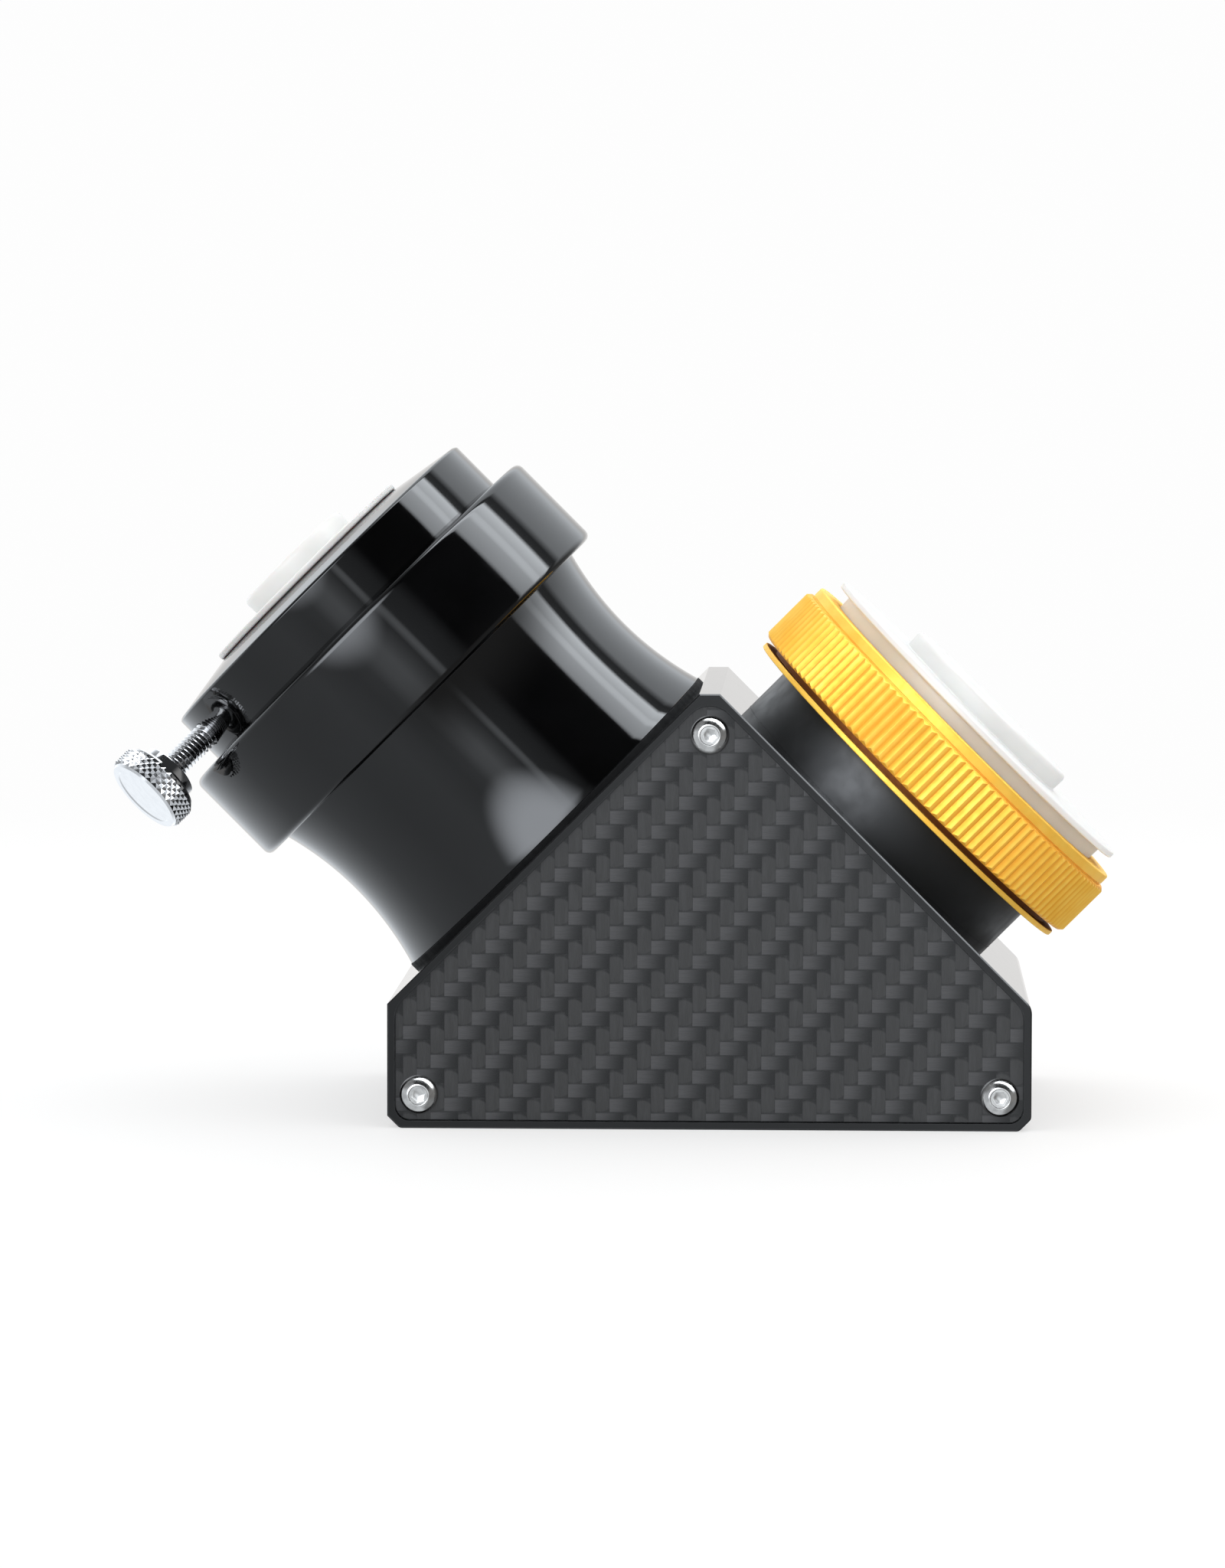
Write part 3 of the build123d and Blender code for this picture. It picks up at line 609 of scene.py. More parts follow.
@dataclass(frozen=True)
class CarbonTwill:
    """Two-over-two twill of carbon tows under clear resin, in the XZ plane."""

    name: str = "carbon_fibre"
    tow_across: float = 2.013
    tow_up: float = 2.11
    start: Pair = (-42.68, 2.37)
    upright: Triple = (0.0245, 0.0243, 0.0248)
    # Painted highlight at a level tow's rising left end, and painted shade at its diving right end
    level_highlight: Triple = (0.052, 0.052, 0.055)
    level_shade: Triple = (0.0008, 0.0008, 0.0010)
    # Dark resin of the gaps and fibre streaks, also the colour of painted shade and painted shadow on the tows
    gap_and_shade: Triple = (0.0008, 0.0008, 0.0008)
    sheen: Triple = (0.06, 0.062, 0.065)
    fibres_per_mm: float = 11.0
    bundles_per_mm: float = 1.6
    crown_microns: float = 40.0
    fibre_microns: float = 3.0

    def material(self) -> Material:
        """The finished material."""
        shade = Shade(self.name, {
            "Specular IOR Level": 0.12, "Coat Weight": 1.0, "Coat Roughness": 0.03,
            "Coat IOR": 1.45,
        })
        x, _, z = shade.split(shade.place)
        across = shade.math("DIVIDE", shade.less(x, self.start[0]), self.tow_across)
        up = shade.math("DIVIDE", shade.less(z, self.start[1]), self.tow_up)
        column, row = shade.math("FLOOR", across), shade.math("FLOOR", up)
        in_column, in_row = shade.less(across, column), shade.less(up, row)
        phase = shade.math("FLOORED_MODULO", shade.less(column, row), 4.0)
        level = shade.math("GREATER_THAN", phase, 1.5)
        up_run = shade.math("ADD", shade.less(1.0, phase), in_row)
        level_run = shade.math("ADD", shade.less(phase, 2.0), in_column)

        def pick(upright: Socket, flat: Socket) -> Socket:
            """A number for upright tows, or another for level ones."""
            return shade.blend(level, upright, flat, "FLOAT")

        run = pick(shade.math("DIVIDE", up_run, 2.0), shade.math("DIVIDE", level_run, 2.0))
        side = pick(in_column, in_row)

        # Rounded tows that dive under their neighbours at both ends
        arch = shade.math("SINE", shade.times(run, math.pi))
        crown = shade.math("SINE", shade.times(side, math.pi))
        height = shade.times(shade.math("POWER", arch, 0.55),
                             shade.math("POWER", crown, 0.45))

        # Fibres along each tow
        fine = pick(shade.noise(self.fibres_per_mm, 3.0, (1, 1, 0.05)),
                    shade.noise(self.fibres_per_mm, 3.0, (0.05, 1, 1)))
        bundle = pick(shade.noise(self.bundles_per_mm, 2.0, (1, 1, 0.12)),
                      shade.noise(self.bundles_per_mm, 2.0, (0.12, 1, 1)))

        # Painted highlight: level tows are brightest where they rise, at the left, fading to painted shade where
        # they dive, at the right
        fade = shade.span(run, 0.0, 0.98)
        flat_tow = shade.blend(fade, self.level_highlight, self.level_shade)
        # Painted shadow: a dark crescent across the top of each upright tow, and painted shade at its foot where
        # it dives under
        rounded = shade.less(side, 0.35)
        rounded = shade.times(shade.times(rounded, rounded), 0.30)
        tip = shade.span(shade.math("ADD", run, rounded), 0.88, 0.98)
        foot = shade.span(shade.less(run, rounded), 0.06, 0.0)
        upright = shade.blend(tip, self.upright, self.gap_and_shade)
        upright = shade.blend(shade.times(foot, 0.55), upright, self.gap_and_shade)
        # Darker at each tow's sides: partly the dark gap between tows, partly painted shade where the tow rounds
        # over
        upright = shade.blend(shade.span(crown, 0.0, 0.22, 0.40, 0.0), upright, self.gap_and_shade)
        flat_tow = shade.blend(shade.span(crown, 0.0, 0.30, 0.9, 0.0), flat_tow, self.gap_and_shade)
        tow = shade.blend(level, upright, flat_tow)
        streak = shade.times(shade.span(fine, 0.35, 0.7), 0.26)
        tow = shade.blend(streak, tow, self.gap_and_shade)
        lift = shade.times(shade.span(bundle, 0.4, 0.75, 0.0, 0.16),
                           shade.less(1.0, shade.times(level, fade)))
        tow = shade.blend(lift, tow, self.sheen)
        shade.put("Base Color", tow)
        shade.put("Roughness", shade.span(fine, 0.3, 0.7, 0.26, 0.42))
        woven = shade.bump(height, self.crown_microns)
        shade.put("Normal", shade.bump(fine, self.fibre_microns, woven))
        shade.put("Coat Normal", shade.bump(shade.noise(0.8, 2.0), 0.8))
        return shade.material


@dataclass(frozen=True)
class BareMetal:
    """Turned or plated metal with fine marks and small scuffs."""

    name: str
    colour: Triple
    shadow: Triple
    gloss: Pair
    mark_microns: float = 0.7
    marks_per_mm: float = 12.0

    def material(self, axis: Optional[TurnAxis] = None) -> Material:
        """The finished material, with its turning lines across an axis if one is given."""
        shade = Shade(self.name, {"Metallic": 1.0})
        stain = shade.cloudy(0.8, 5.0, 0.35, 0.75)
        shade.put("Base Color", shade.blend(stain, self.colour, self.shadow))
        scuff = shade.span(shade.noise(2.5, 4.0, (1, 4, 1)), 0.35, 0.8, *self.gloss)
        shade.put("Roughness", scuff)
        base = shade.bump(shade.noise(self.marks_per_mm, 2.0), self.mark_microns / 2)
        shade.put("Normal", shade.bump(shade.lines(axis, self.marks_per_mm * 1.6),
                                       self.mark_microns, base))
        return shade.material


@dataclass(frozen=True)
class Moulded:
    """Moulded plastic or rubber with a faint flow pattern."""

    name: str
    colour: Triple
    shade_colour: Triple
    gloss: Pair
    grain_microns: float = 3.0
    glow: float = 0.0
    specular: float = 0.45

    def material(self) -> Material:
        """The finished material."""
        shade = Shade(self.name, {
            "Subsurface Weight": self.glow, "Subsurface Scale": 0.002,
            "Specular IOR Level": self.specular,
        })
        flow = shade.span(shade.noise(0.12, 4.0, (1, 1, 2)), 0.3, 0.7)
        shade.put("Base Color", shade.blend(flow, self.colour, self.shade_colour))
        shade.put("Roughness", shade.cloudy(0.9, 4.0, gloss=self.gloss))
        shade.put("Normal", shade.bump(shade.noise(5.0, 3.0), self.grain_microns))
        return shade.material


@dataclass(frozen=True)
class SilveredGlass:
    """Front-silvered mirror with ground glass sides."""

    name: str = "mirror_glass"

    def material(self) -> Material:
        """The finished material: metal where the glass faces up, ground glass elsewhere."""
        shade = Shade(self.name, {"Specular IOR Level": 0.5})
        facing = shade.tree.nodes.new("ShaderNodeTexCoord").outputs["Normal"]
        silver = shade.span(shade.split(facing)[2], 0.9, 0.98)
        haze = shade.noise(0.4, 4.0)
        ground = shade.blend(haze, (0.34, 0.42, 0.40), (0.46, 0.53, 0.51))
        shade.put("Base Color", shade.blend(silver, ground, (0.93, 0.94, 0.95)))
        shade.put("Metallic", silver)
        shade.put("Roughness", shade.less(0.55, shade.times(silver, 0.535)))
        shade.put("Normal", shade.bump(shade.noise(3.0, 3.0), 0.02))
        return shade.material


class Finishes:
    """Every finish of the diagonal, made once."""

    def __init__(self, eye: TurnAxis, tele: TurnAxis) -> None:
        black = Anodised("black_anodised")
        self.body_black = black.material()
        self.eye_black = Anodised("black_anodised_turned").material(eye)
        self.satin_black = Anodised(
            "satin_black", dark=(0.0022, 0.0026, 0.0028), pale=(0.0040, 0.0045, 0.0048),
            gloss=(0.36, 0.46), grain_microns=5.0, line_microns=1.2, edge_reach=0.12,
        ).material(tele)
        self.gold = GoldAnodised().material(tele)
        self.carbon = CarbonTwill().material()
        self.steel = BareMetal("stainless_steel", (0.74, 0.73, 0.71), (0.55, 0.54, 0.53),
                               (0.12, 0.2)).material()
        self.dark_steel = BareMetal("blackened_steel", (0.035, 0.035, 0.038),
                                    (0.018, 0.018, 0.02), (0.28, 0.42)).material()
        self.plating = BareMetal("bright_plating", (0.78, 0.78, 0.785), (0.72, 0.72, 0.73),
                                 (0.06, 0.11), 0.25).material()
        self.brass = BareMetal("brass", (0.72, 0.47, 0.15), (0.50, 0.30, 0.09),
                               (0.22, 0.36), 0.9).material(eye)
        self.glass = SilveredGlass().material()
        self.rubber = Moulded("rubber_pad", (0.02, 0.02, 0.021), (0.035, 0.035, 0.036),
                              (0.65, 0.85), 12.0).material()
        self.nylon = Moulded("black_nylon", (0.0022, 0.0022, 0.0024), (0.0035, 0.0035, 0.0037),
                             (0.6, 0.75), 6.0, specular=0.1).material()
        self.slip = Moulded("slip_plastic", (0.62, 0.61, 0.57), (0.52, 0.51, 0.47),
                            (0.3, 0.45), 2.0, 0.1).material()
        self.plastic = Moulded("white_plastic", (0.75, 0.75, 0.74), (0.72, 0.72, 0.705),
                               (0.36, 0.5), 2.5, 0.1).material()

    def by_slot(self) -> dict[Slot, Material]:
        """The finish that each of the record's slots gets on a CAD node."""
        return {
            Slot.BLACK: self.body_black, Slot.SATIN: self.satin_black, Slot.GOLD: self.gold,
            Slot.CARBON: self.carbon, Slot.STEEL: self.steel, Slot.DARK_STEEL: self.dark_steel,
            Slot.PLATING: self.plating, Slot.BRASS: self.brass, Slot.GLASS: self.glass,
            Slot.RUBBER: self.rubber, Slot.SLIP: self.slip, Slot.PLASTIC: self.plastic,
        }


# ---- fasteners
@dataclass
class ButtonScrews:
    """Stainless M3 button-head screws that hold a side panel, a hexagon socket in each."""

    face: float
    head_radius: float = 2.85
    head_height: float = 1.65
    land_radius: float = 1.62
    dish_radius: float = 1.34
    dish_depth: float = 0.16
    shank_radius: float = 1.5
    shank_length: float = 6.4
    socket: float = 2.0
    socket_depth: float = 1.05
    turns: tuple[float, ...] = (0.31, 0.83, 0.05)

    def _screw(self) -> Solid:
        """One screw, seated at station 0 with its head up."""
        head = Solid.turned(
            [
                (0, -self.shank_length), (self.shank_radius - 0.2, -self.shank_length),
                (self.shank_radius, -self.shank_length + 0.2), (self.shank_radius, 0),
                (self.head_radius - 0.04, 0), (self.head_radius, 0.05),
                (self.head_radius - 0.02, 0.16), (self.land_radius, self.head_height, 0.1),
                (self.dish_radius + 0.08, self.head_height, 0.04),
                (self.dish_radius, self.head_height - self.dish_depth),
                (0, self.head_height - self.dish_depth),
            ],
            steps=SMALL_STEPS, closed=False, bows={6: -0.27},
        )
        floor = self.head_height - self.socket_depth
        hexagon = Solid.prism(self.socket, floor, self.head_height + 1)
        drill = Solid.turned(
            [(0, floor - 0.35), (self.socket / 2 - 0.06, floor + 0.1), (0, floor + 0.1)],
            steps=24, closed=False,
        )
        return head.cut(hexagon, drill)

    def build(self, node: str, finish: Material, places: Sequence[Vector]) -> None:
        """Makes the three screws of one panel.

        Args:
            node: the CAD node that they stand for.
            finish: their material.
            places: where each screw's axis meets the panel's face, in metres.
        """
        outward = Vector((0, math.copysign(1, self.face), 0))
        group = None
        for place, turn in zip(places, self.turns):
            axis = TurnAxis(place, outward)
            screw = self._screw().moved(axis.placement() @ Matrix.Rotation(turn, 4, "Z"))
            group = screw if group is None else group.joined(screw)
        group.piece(f"{node}_heads", node, Body.DIAGONAL, finish, Slot.STEEL, None)


@dataclass
class Thumbscrew:
    """Plated thumbscrew with a diamond-knurled knob and a real M4 thread."""

    tip: float
    shoulder: float
    thread_radius: float = 1.97
    thread_depth: float = 0.40
    pitch: float = 0.7
    collar_radius: float = 4.5
    collar_length: float = 1.85
    knob_radius: float = 6.63
    knob_length: float = 4.06
    knob_chamfer: float = 0.35
    knurl_depth: float = 0.42
    knurl_rows: int = 3
    knurl_count: int = 34

    def _knob(self) -> Solid:
        """Collar and knob, the knob's edge cut into small pyramids."""
        back = self.shoulder + self.collar_length
        face = back + self.knob_length
        low, high = back + self.knob_chamfer, face - self.knob_chamfer
        root = self.knob_radius - self.knurl_depth
        levels = 2 * self.knurl_rows
        wall = [(root, low + (high - low) * level / levels) for level in range(levels + 1)]
        knob = Solid.turned(
            [
                (0, self.shoulder - 0.5),
                (self.thread_radius - self.thread_depth, self.shoulder - 0.5),
                (self.thread_radius + 0.35, self.shoulder),
                (self.collar_radius, self.shoulder, 0.25), (self.collar_radius, back - 0.3),
                (self.collar_radius - 0.3, back), (root - 0.25, back), *wall, (root - 0.25, face),
                (self.collar_radius + 0.5, face), (self.collar_radius + 0.35, face - 0.12),
                (0, face - 0.12),
            ],
            steps=2 * self.knurl_count, closed=False,
        )
        step = (high - low) / levels
        angle = TURN / (2 * self.knurl_count)
        raised = set()
        for vert in knob.bm.verts:
            radius = math.hypot(vert.co.x, vert.co.y)
            level = (vert.co.z - low) / step
            if abs(radius - root) > 1e-3 or not 0.5 < level < levels - 0.5:
                continue
            column = round(math.atan2(vert.co.y, vert.co.x) / angle)
            if (column + round(level)) % 2:
                scale = self.knob_radius / radius
                vert.co.x, vert.co.y = vert.co.x * scale, vert.co.y * scale
                raised.add(vert)
        for face_ in [f for f in knob.bm.faces if len(f.verts) == 4 and raised & set(f.verts)]:
            corners = list(face_.verts)
            top = next(i for i, vert in enumerate(corners) if vert in raised)
            bmesh.utils.face_split(face_, corners[top - 1], corners[(top + 1) % 4])
        return knob

    def build(self, name: str, node: str, axis: TurnAxis, body: Body,
              finish: Material) -> None:
        """Makes the thumbscrew.

        Args:
            name: the piece's name.
            node: the CAD node that it stands for.
            axis: its axis, starting on the barrel's axis and pointing outwards.
            body: the body it rides on.
            finish: its material.
        """
        core = self.thread_radius - self.thread_depth
        shank = Solid.turned(
            [(0, self.tip), (core - 0.15, self.tip), (core, self.tip + 0.3),
             (core, self.shoulder - 0.2), (0, self.shoulder - 0.2)],
            steps=32, closed=False,
        )
        start = self.tip + 0.35
        turns = math.floor((self.shoulder - 0.1 - start) / self.pitch) - 1
        thread = Solid.coil(core - 0.04, self.thread_radius, self.pitch, start, turns, 32)
        whole = self._knob().joined(shank).joined(thread)
        whole.piece(name, node, body, finish, Slot.PLATING, axis)


# ---- eyepiece side
@dataclass
class EyepieceHolder:
    """Black 2 inch holder: waisted neck, wide head and the bore with its clamp groove."""

    axis: TurnAxis
    spigot_end: float = 28.193
    washer: Pair = (33.093, 33.943)
    washer_radius: float = 30.55
    spigot_radius: float = 26.5
    foot_radius: float = 30.4
    neck_top_radius: float = 30.1
    neck_bow: float = 1.85
    head: Pair = (60.443, 76.093)
    head_radius: float = 34.1
    head_round: float = 1.1
    bore_radius: float = 25.45
    bore_chamfer: float = 0.6
    stop: float = 40.093
    stop_radius: float = 23.5
    groove_middle: float = 68.293
    groove_half: float = 2.6
    groove_radius: float = 27.65
    screw_hole: float = 2.05

    def build(self, finishes: Finishes, screw_axis: TurnAxis) -> None:
        """Makes the holder and the thin washer under its foot."""
        low, high = self.head
        body = Solid.turned(
            [
                (self.foot_radius, self.washer[1], 0.12), (self.neck_top_radius, low),
                (self.head_radius, low, self.head_round),
                (self.head_radius, high, self.head_round),
                (self.bore_radius + self.bore_chamfer, high),
                (self.bore_radius, high - self.bore_chamfer),
                (self.bore_radius, self.groove_middle + self.groove_half),
                (self.groove_radius, self.groove_middle + self.groove_half),
                (self.groove_radius, self.groove_middle - self.groove_half),
                (self.bore_radius, self.groove_middle - self.groove_half),
                (self.bore_radius, self.stop), (self.stop_radius, self.stop, 0.15),
                (self.stop_radius, self.spigot_end, 0.15),
                (self.spigot_radius, self.spigot_end, 0.3), (self.spigot_radius, self.washer[1]),
            ],
            bows={0: self.neck_bow}, steps=256,
        )
        body.cut(side_hole(self.screw_hole, self.groove_radius - 1.5, self.head_radius + 3,
                           self.axis, screw_axis))
        body.piece("eyepiece_holder_body", "eyepiece_holder", Body.DIAGONAL, finishes.eye_black,
                   Slot.BLACK, self.axis)
        washer = Solid.turned([
            (self.spigot_radius + 0.05, self.washer[0]), (self.washer_radius, self.washer[0]),
            (self.washer_radius, self.washer[1], 0.15), (self.spigot_radius + 0.05, self.washer[1]),
        ])
        washer.piece("holder_washer_ring", "holder_washer", Body.DIAGONAL, finishes.nylon,
                     Slot.SATIN, self.axis)


def side_hole(radius: float, start: float, end: float, barrel: TurnAxis,
              hole: TurnAxis) -> Solid:
    """A round cutter across a barrel, in the barrel's own millimetres.

    Args:
        radius: the hole's radius.
        start: where it starts, from the barrel's axis.
        end: where it ends.
        barrel: the barrel's axis.
        hole: the hole's axis, starting on the barrel's axis.

    Returns:
        The cutter.
    """
    cutter = Solid.turned(
        [(0, start), (radius, start), (radius, end - 1.0), (radius, end), (0, end)],
        steps=48, closed=False,
    )
    return cutter.moved(barrel.placement().inverted() @ hole.placement())


@dataclass
class Adapter:
    """Black 2 inch to 1.25 inch adapter: flange with a sloped crown, and a barrel with a groove."""

    axis: TurnAxis
    bore_radius: float = 15.93
    top: float = 86.193
    crown_inner: float = 18.0
    crown_outer: float = 28.9
    flange_radius: float = 29.25
    flange: Pair = (76.093, 84.393)
    barrel_radius: float = 25.38
    barrel_end: float = 49.093
    safety_groove: Triple = (68.293, 4.25, 0.5)
    skirt_radius: float = 22.6
    skirt_end: float = 55.593
    stop_radius: float = 14.8
    stop_end: float = 57.593
    ring_groove: Triple = (79.893, 1.7, 18.1)
    screw_hole: float = 2.05

    def build(self, finishes: Finishes, screw_axis: TurnAxis) -> None:
        """Makes the adapter."""
        low, high = self.flange
        middle, half, depth = self.safety_groove
        ring, ring_half, ring_radius = self.ring_groove
        body = Solid.turned(
            [
                (self.bore_radius, self.top, 0.25), (self.crown_inner, self.top, 0.2),
                (self.crown_outer, high, 0.2), (self.flange_radius, high - 0.35, 0.1),
                (self.flange_radius, low, 0.15), (self.barrel_radius, low),
                (self.barrel_radius, middle + half),
                (self.barrel_radius - depth, middle + half - depth),
                (self.barrel_radius - depth, middle - half + depth),
                (self.barrel_radius, middle - half), (self.barrel_radius, self.barrel_end, 0.5),
                (self.skirt_radius, self.barrel_end, 0.3), (self.skirt_radius, self.skirt_end),
                (self.stop_radius, self.skirt_end), (self.stop_radius, self.stop_end, 0.15),
                (self.bore_radius, self.stop_end), (self.bore_radius, ring - ring_half),
                (ring_radius, ring - ring_half), (ring_radius, ring + ring_half),
                (self.bore_radius, ring + ring_half),
            ],
            steps=256,
        )
        body.cut(side_hole(self.screw_hole, ring_radius - 1.5, self.flange_radius + 3,
                           self.axis, screw_axis))
        body.piece("adapter_shell", "adapter_body", Body.ADAPTER, finishes.eye_black, Slot.BLACK,
                   self.axis)


# ---- telescope side
@dataclass
class Nose:
    """Black nose: the satin tube and its front flange; the slip washer between them is not made here."""

    axis: TurnAxis
    tube_radius: float = 25.4
    tube: Pair = (28.193, 41.633)
    neck_radius: float = 23.35
    neck_end: float = 43.733
    bore_radius: float = 21.8
    baffle_pitch: float = 0.8
    baffle_depth: float = 0.28
    spigot_radius: float = 22.65
    spigot_end: float = 39.833
    flange_radius: float = 24.5
    flange_bore: float = 21.0
    face: float = 45.633

    def build(self, finishes: Finishes) -> None:
        """Makes the tube with its ribbed bore, and the flange."""
        start, shoulder = self.tube
        count = int((self.spigot_end - start - 1.0) / self.baffle_pitch)
        ribs = []
        for rib in range(count, 0, -1):
            station = start + 0.5 + rib * self.baffle_pitch
            ribs += [(self.bore_radius, station),
                     (self.bore_radius + self.baffle_depth, station - self.baffle_pitch / 2)]
        tube = Solid.turned([
            (self.bore_radius, start, 0.15), (self.tube_radius, start, 0.3),
            (self.tube_radius, shoulder, 0.12), (self.neck_radius, shoulder),
            (self.neck_radius, self.neck_end), (self.spigot_radius, self.neck_end),
            (self.spigot_radius, self.spigot_end), (self.bore_radius, self.spigot_end), *ribs,
        ], steps=256)
        tube.piece("nose_tube_body", "nose_tube", Body.DIAGONAL, finishes.satin_black, Slot.SATIN,
                   self.axis)
        flange = Solid.turned([
            (self.flange_bore, self.face, 0.25), (self.flange_radius, self.face, 0.2),
            (self.flange_radius, self.neck_end, 0.15), (self.spigot_radius - 0.05, self.neck_end),
            (self.spigot_radius - 0.05, self.spigot_end, 0.2),
            (self.flange_bore, self.spigot_end, 0.2),
        ])
        flange.piece("nose_flange_ring", "nose_flange", Body.DIAGONAL, finishes.satin_black,
                     Slot.SATIN, self.axis)


@dataclass
class CouplingRing:
    """Gold coupling ring: a ridged grip band between two plain rims, and a 24-thread mouth."""

    axis: TurnAxis
    ridges: int = 130
    ridge_depth: float = 0.43
    entry_radius: float = 25.47
    ring: Pair = (40.733, 53.253)
    rim_radius: float = 30.48
    lower_rim_end: float = 41.533
    groove_radius: float = 28.4
    band: Pair = (42.433, 51.433)
    band_radius: float = 31.45
    band_chamfer: float = 0.5
    mouth_radius: float = 26.65
    mouth_shoulder: float = 51.203
    thread_crest: float = 24.83
    thread_root: float = 25.4
    thread_start: float = 45.833
    thread_pitch: float = 25.4 / 24
    lip: Pair = (41.933, 43.233)
    lip_radius: float = 23.42

    def _turned(self) -> Solid:
        """The ring before its ridges are raised."""
        back, mouth = self.ring
        low, high = self.band
        foot = self.band_radius - self.band_chamfer
        return Solid.turned(
            [
                (self.entry_radius, back, 0.15), (self.rim_radius, back, 0.15),
                (self.rim_radius, self.lower_rim_end, 0.1),
                (self.groove_radius, self.lower_rim_end), (self.groove_radius, low), (foot, low),
                (self.band_radius, low + self.band_chamfer),
                (self.band_radius, high - self.band_chamfer), (foot, high),
                (self.rim_radius - 0.22, high), (self.rim_radius - 0.22, high + 0.22),
                (self.rim_radius, high + 0.32), (self.rim_radius, mouth, 0.3),
                (self.mouth_radius, mouth, 0.2), (self.mouth_radius, self.mouth_shoulder),
                (self.thread_root - 0.1, self.mouth_shoulder),
                (self.thread_root, self.mouth_shoulder - 0.25), (self.thread_root, self.lip[1]),
                (self.lip_radius, self.lip[1]), (self.lip_radius, self.lip[0]),
                (self.entry_radius, self.lip[0]),
            ],
            steps=2 * self.ridges,
        )

    def _raise_ridges(self, ring: Solid) -> None:
        """Cuts the valleys between the grip's ridges, running out through its end chamfers."""
        angle = TURN / (2 * self.ridges)
        ends = (self.band[0] + self.band_chamfer, self.band[1] - self.band_chamfer)
        crests = set()
        for vert in ring.bm.verts:
            radius = math.hypot(vert.co.x, vert.co.y)
            end = next((e for e in ends if abs(vert.co.z - e) < 1e-3), None)
            if end is None or abs(radius - self.band_radius) > 1e-3:
                continue
            if round(math.atan2(vert.co.y, vert.co.x) / angle) % 2 == 0:
                crests.add(vert)
                continue
            scale = (self.band_radius - self.ridge_depth) / radius
            vert.co.x, vert.co.y = vert.co.x * scale, vert.co.y * scale
            vert.co.z += math.copysign(self.ridge_depth, vert.co.z - sum(self.band) / 2)
        sharp = [e for e in ring.bm.edges if set(e.verts) <= crests]
        bmesh.ops.bevel(
            ring.bm, geom=sharp, offset=0.06, offset_type="OFFSET", segments=2, profile=0.5,
            affect="EDGES", material=-1,
        )

    def build(self, finishes: Finishes) -> None:
        """Makes the ring with its ridges and thread."""
        ring = self._turned()
        self._raise_ridges(ring)
        turns = math.floor((self.mouth_shoulder - self.thread_start) / self.thread_pitch - 0.9)
        thread = Solid.coil(self.thread_root + 0.05, self.thread_crest, self.thread_pitch,
                            self.thread_start, turns, 128)
        ring.joined(thread).piece("coupling_ring_body", "coupling_ring", Body.COUPLING,
                                  finishes.gold, Slot.GOLD, self.axis)


# ---- dust caps
@dataclass
class DustCap:
    """White push-in cap: a thin plug, a flange and a hollow centre boss, all one thickness."""

    axis: TurnAxis
    plug_radius: float
    plug_end: float
    flange_radius: float
    flange_back: float
    boss_radius: float
    boss_height: float
    wall: float = 1.0
    edge_round: float = 0.3
    boss_round: float = 0.9

    def build(self, name: str, node: str, body: Body, finish: Material) -> None:
        """Makes the cap as a piece of that name, in place of a CAD node."""
        top = self.flange_back + self.wall
        crown = top + self.boss_height
        cap = Solid.turned(
            [
                (0, crown), (self.boss_radius, crown, self.boss_round),
                (self.boss_radius - 0.12, top + 0.25), (self.boss_radius + 0.18, top),
                (self.flange_radius, top, self.edge_round),
                (self.flange_radius, self.flange_back, self.edge_round),
                (self.plug_radius + 0.15, self.flange_back),
                (self.plug_radius, self.flange_back - 0.2),
                (self.plug_radius - 0.12, self.plug_end, 0.25),
                (self.plug_radius - self.wall, self.plug_end, 0.2),
                (self.plug_radius - self.wall, self.flange_back),
                (self.boss_radius - self.wall, self.flange_back, 0.2),
                (self.boss_radius - self.wall, crown - self.wall), (0, crown - self.wall),
            ],
            closed=False,
        )
        cap.piece(name, node, body, finish, Slot.PLASTIC, self.axis)


# ---- carried-over pieces
class Carried:
    """The CAD nodes that keep their meshes and get a finish."""

    def __init__(self, finishes: Finishes) -> None:
        self.finishes = finishes

    def dress(self) -> None:
        """Puts the finish of its slot on every CAD node that still shows."""
        by_slot = self.finishes.by_slot()
        for name, node in sorted(frame["nodes"].items()):
            if node.hide_render:
                continue
            for holder in node.material_slots:
                holder.material = by_slot[Slot(holder.material.name.split(".")[0])]
            LOG.info("%s keeps its mesh", name)


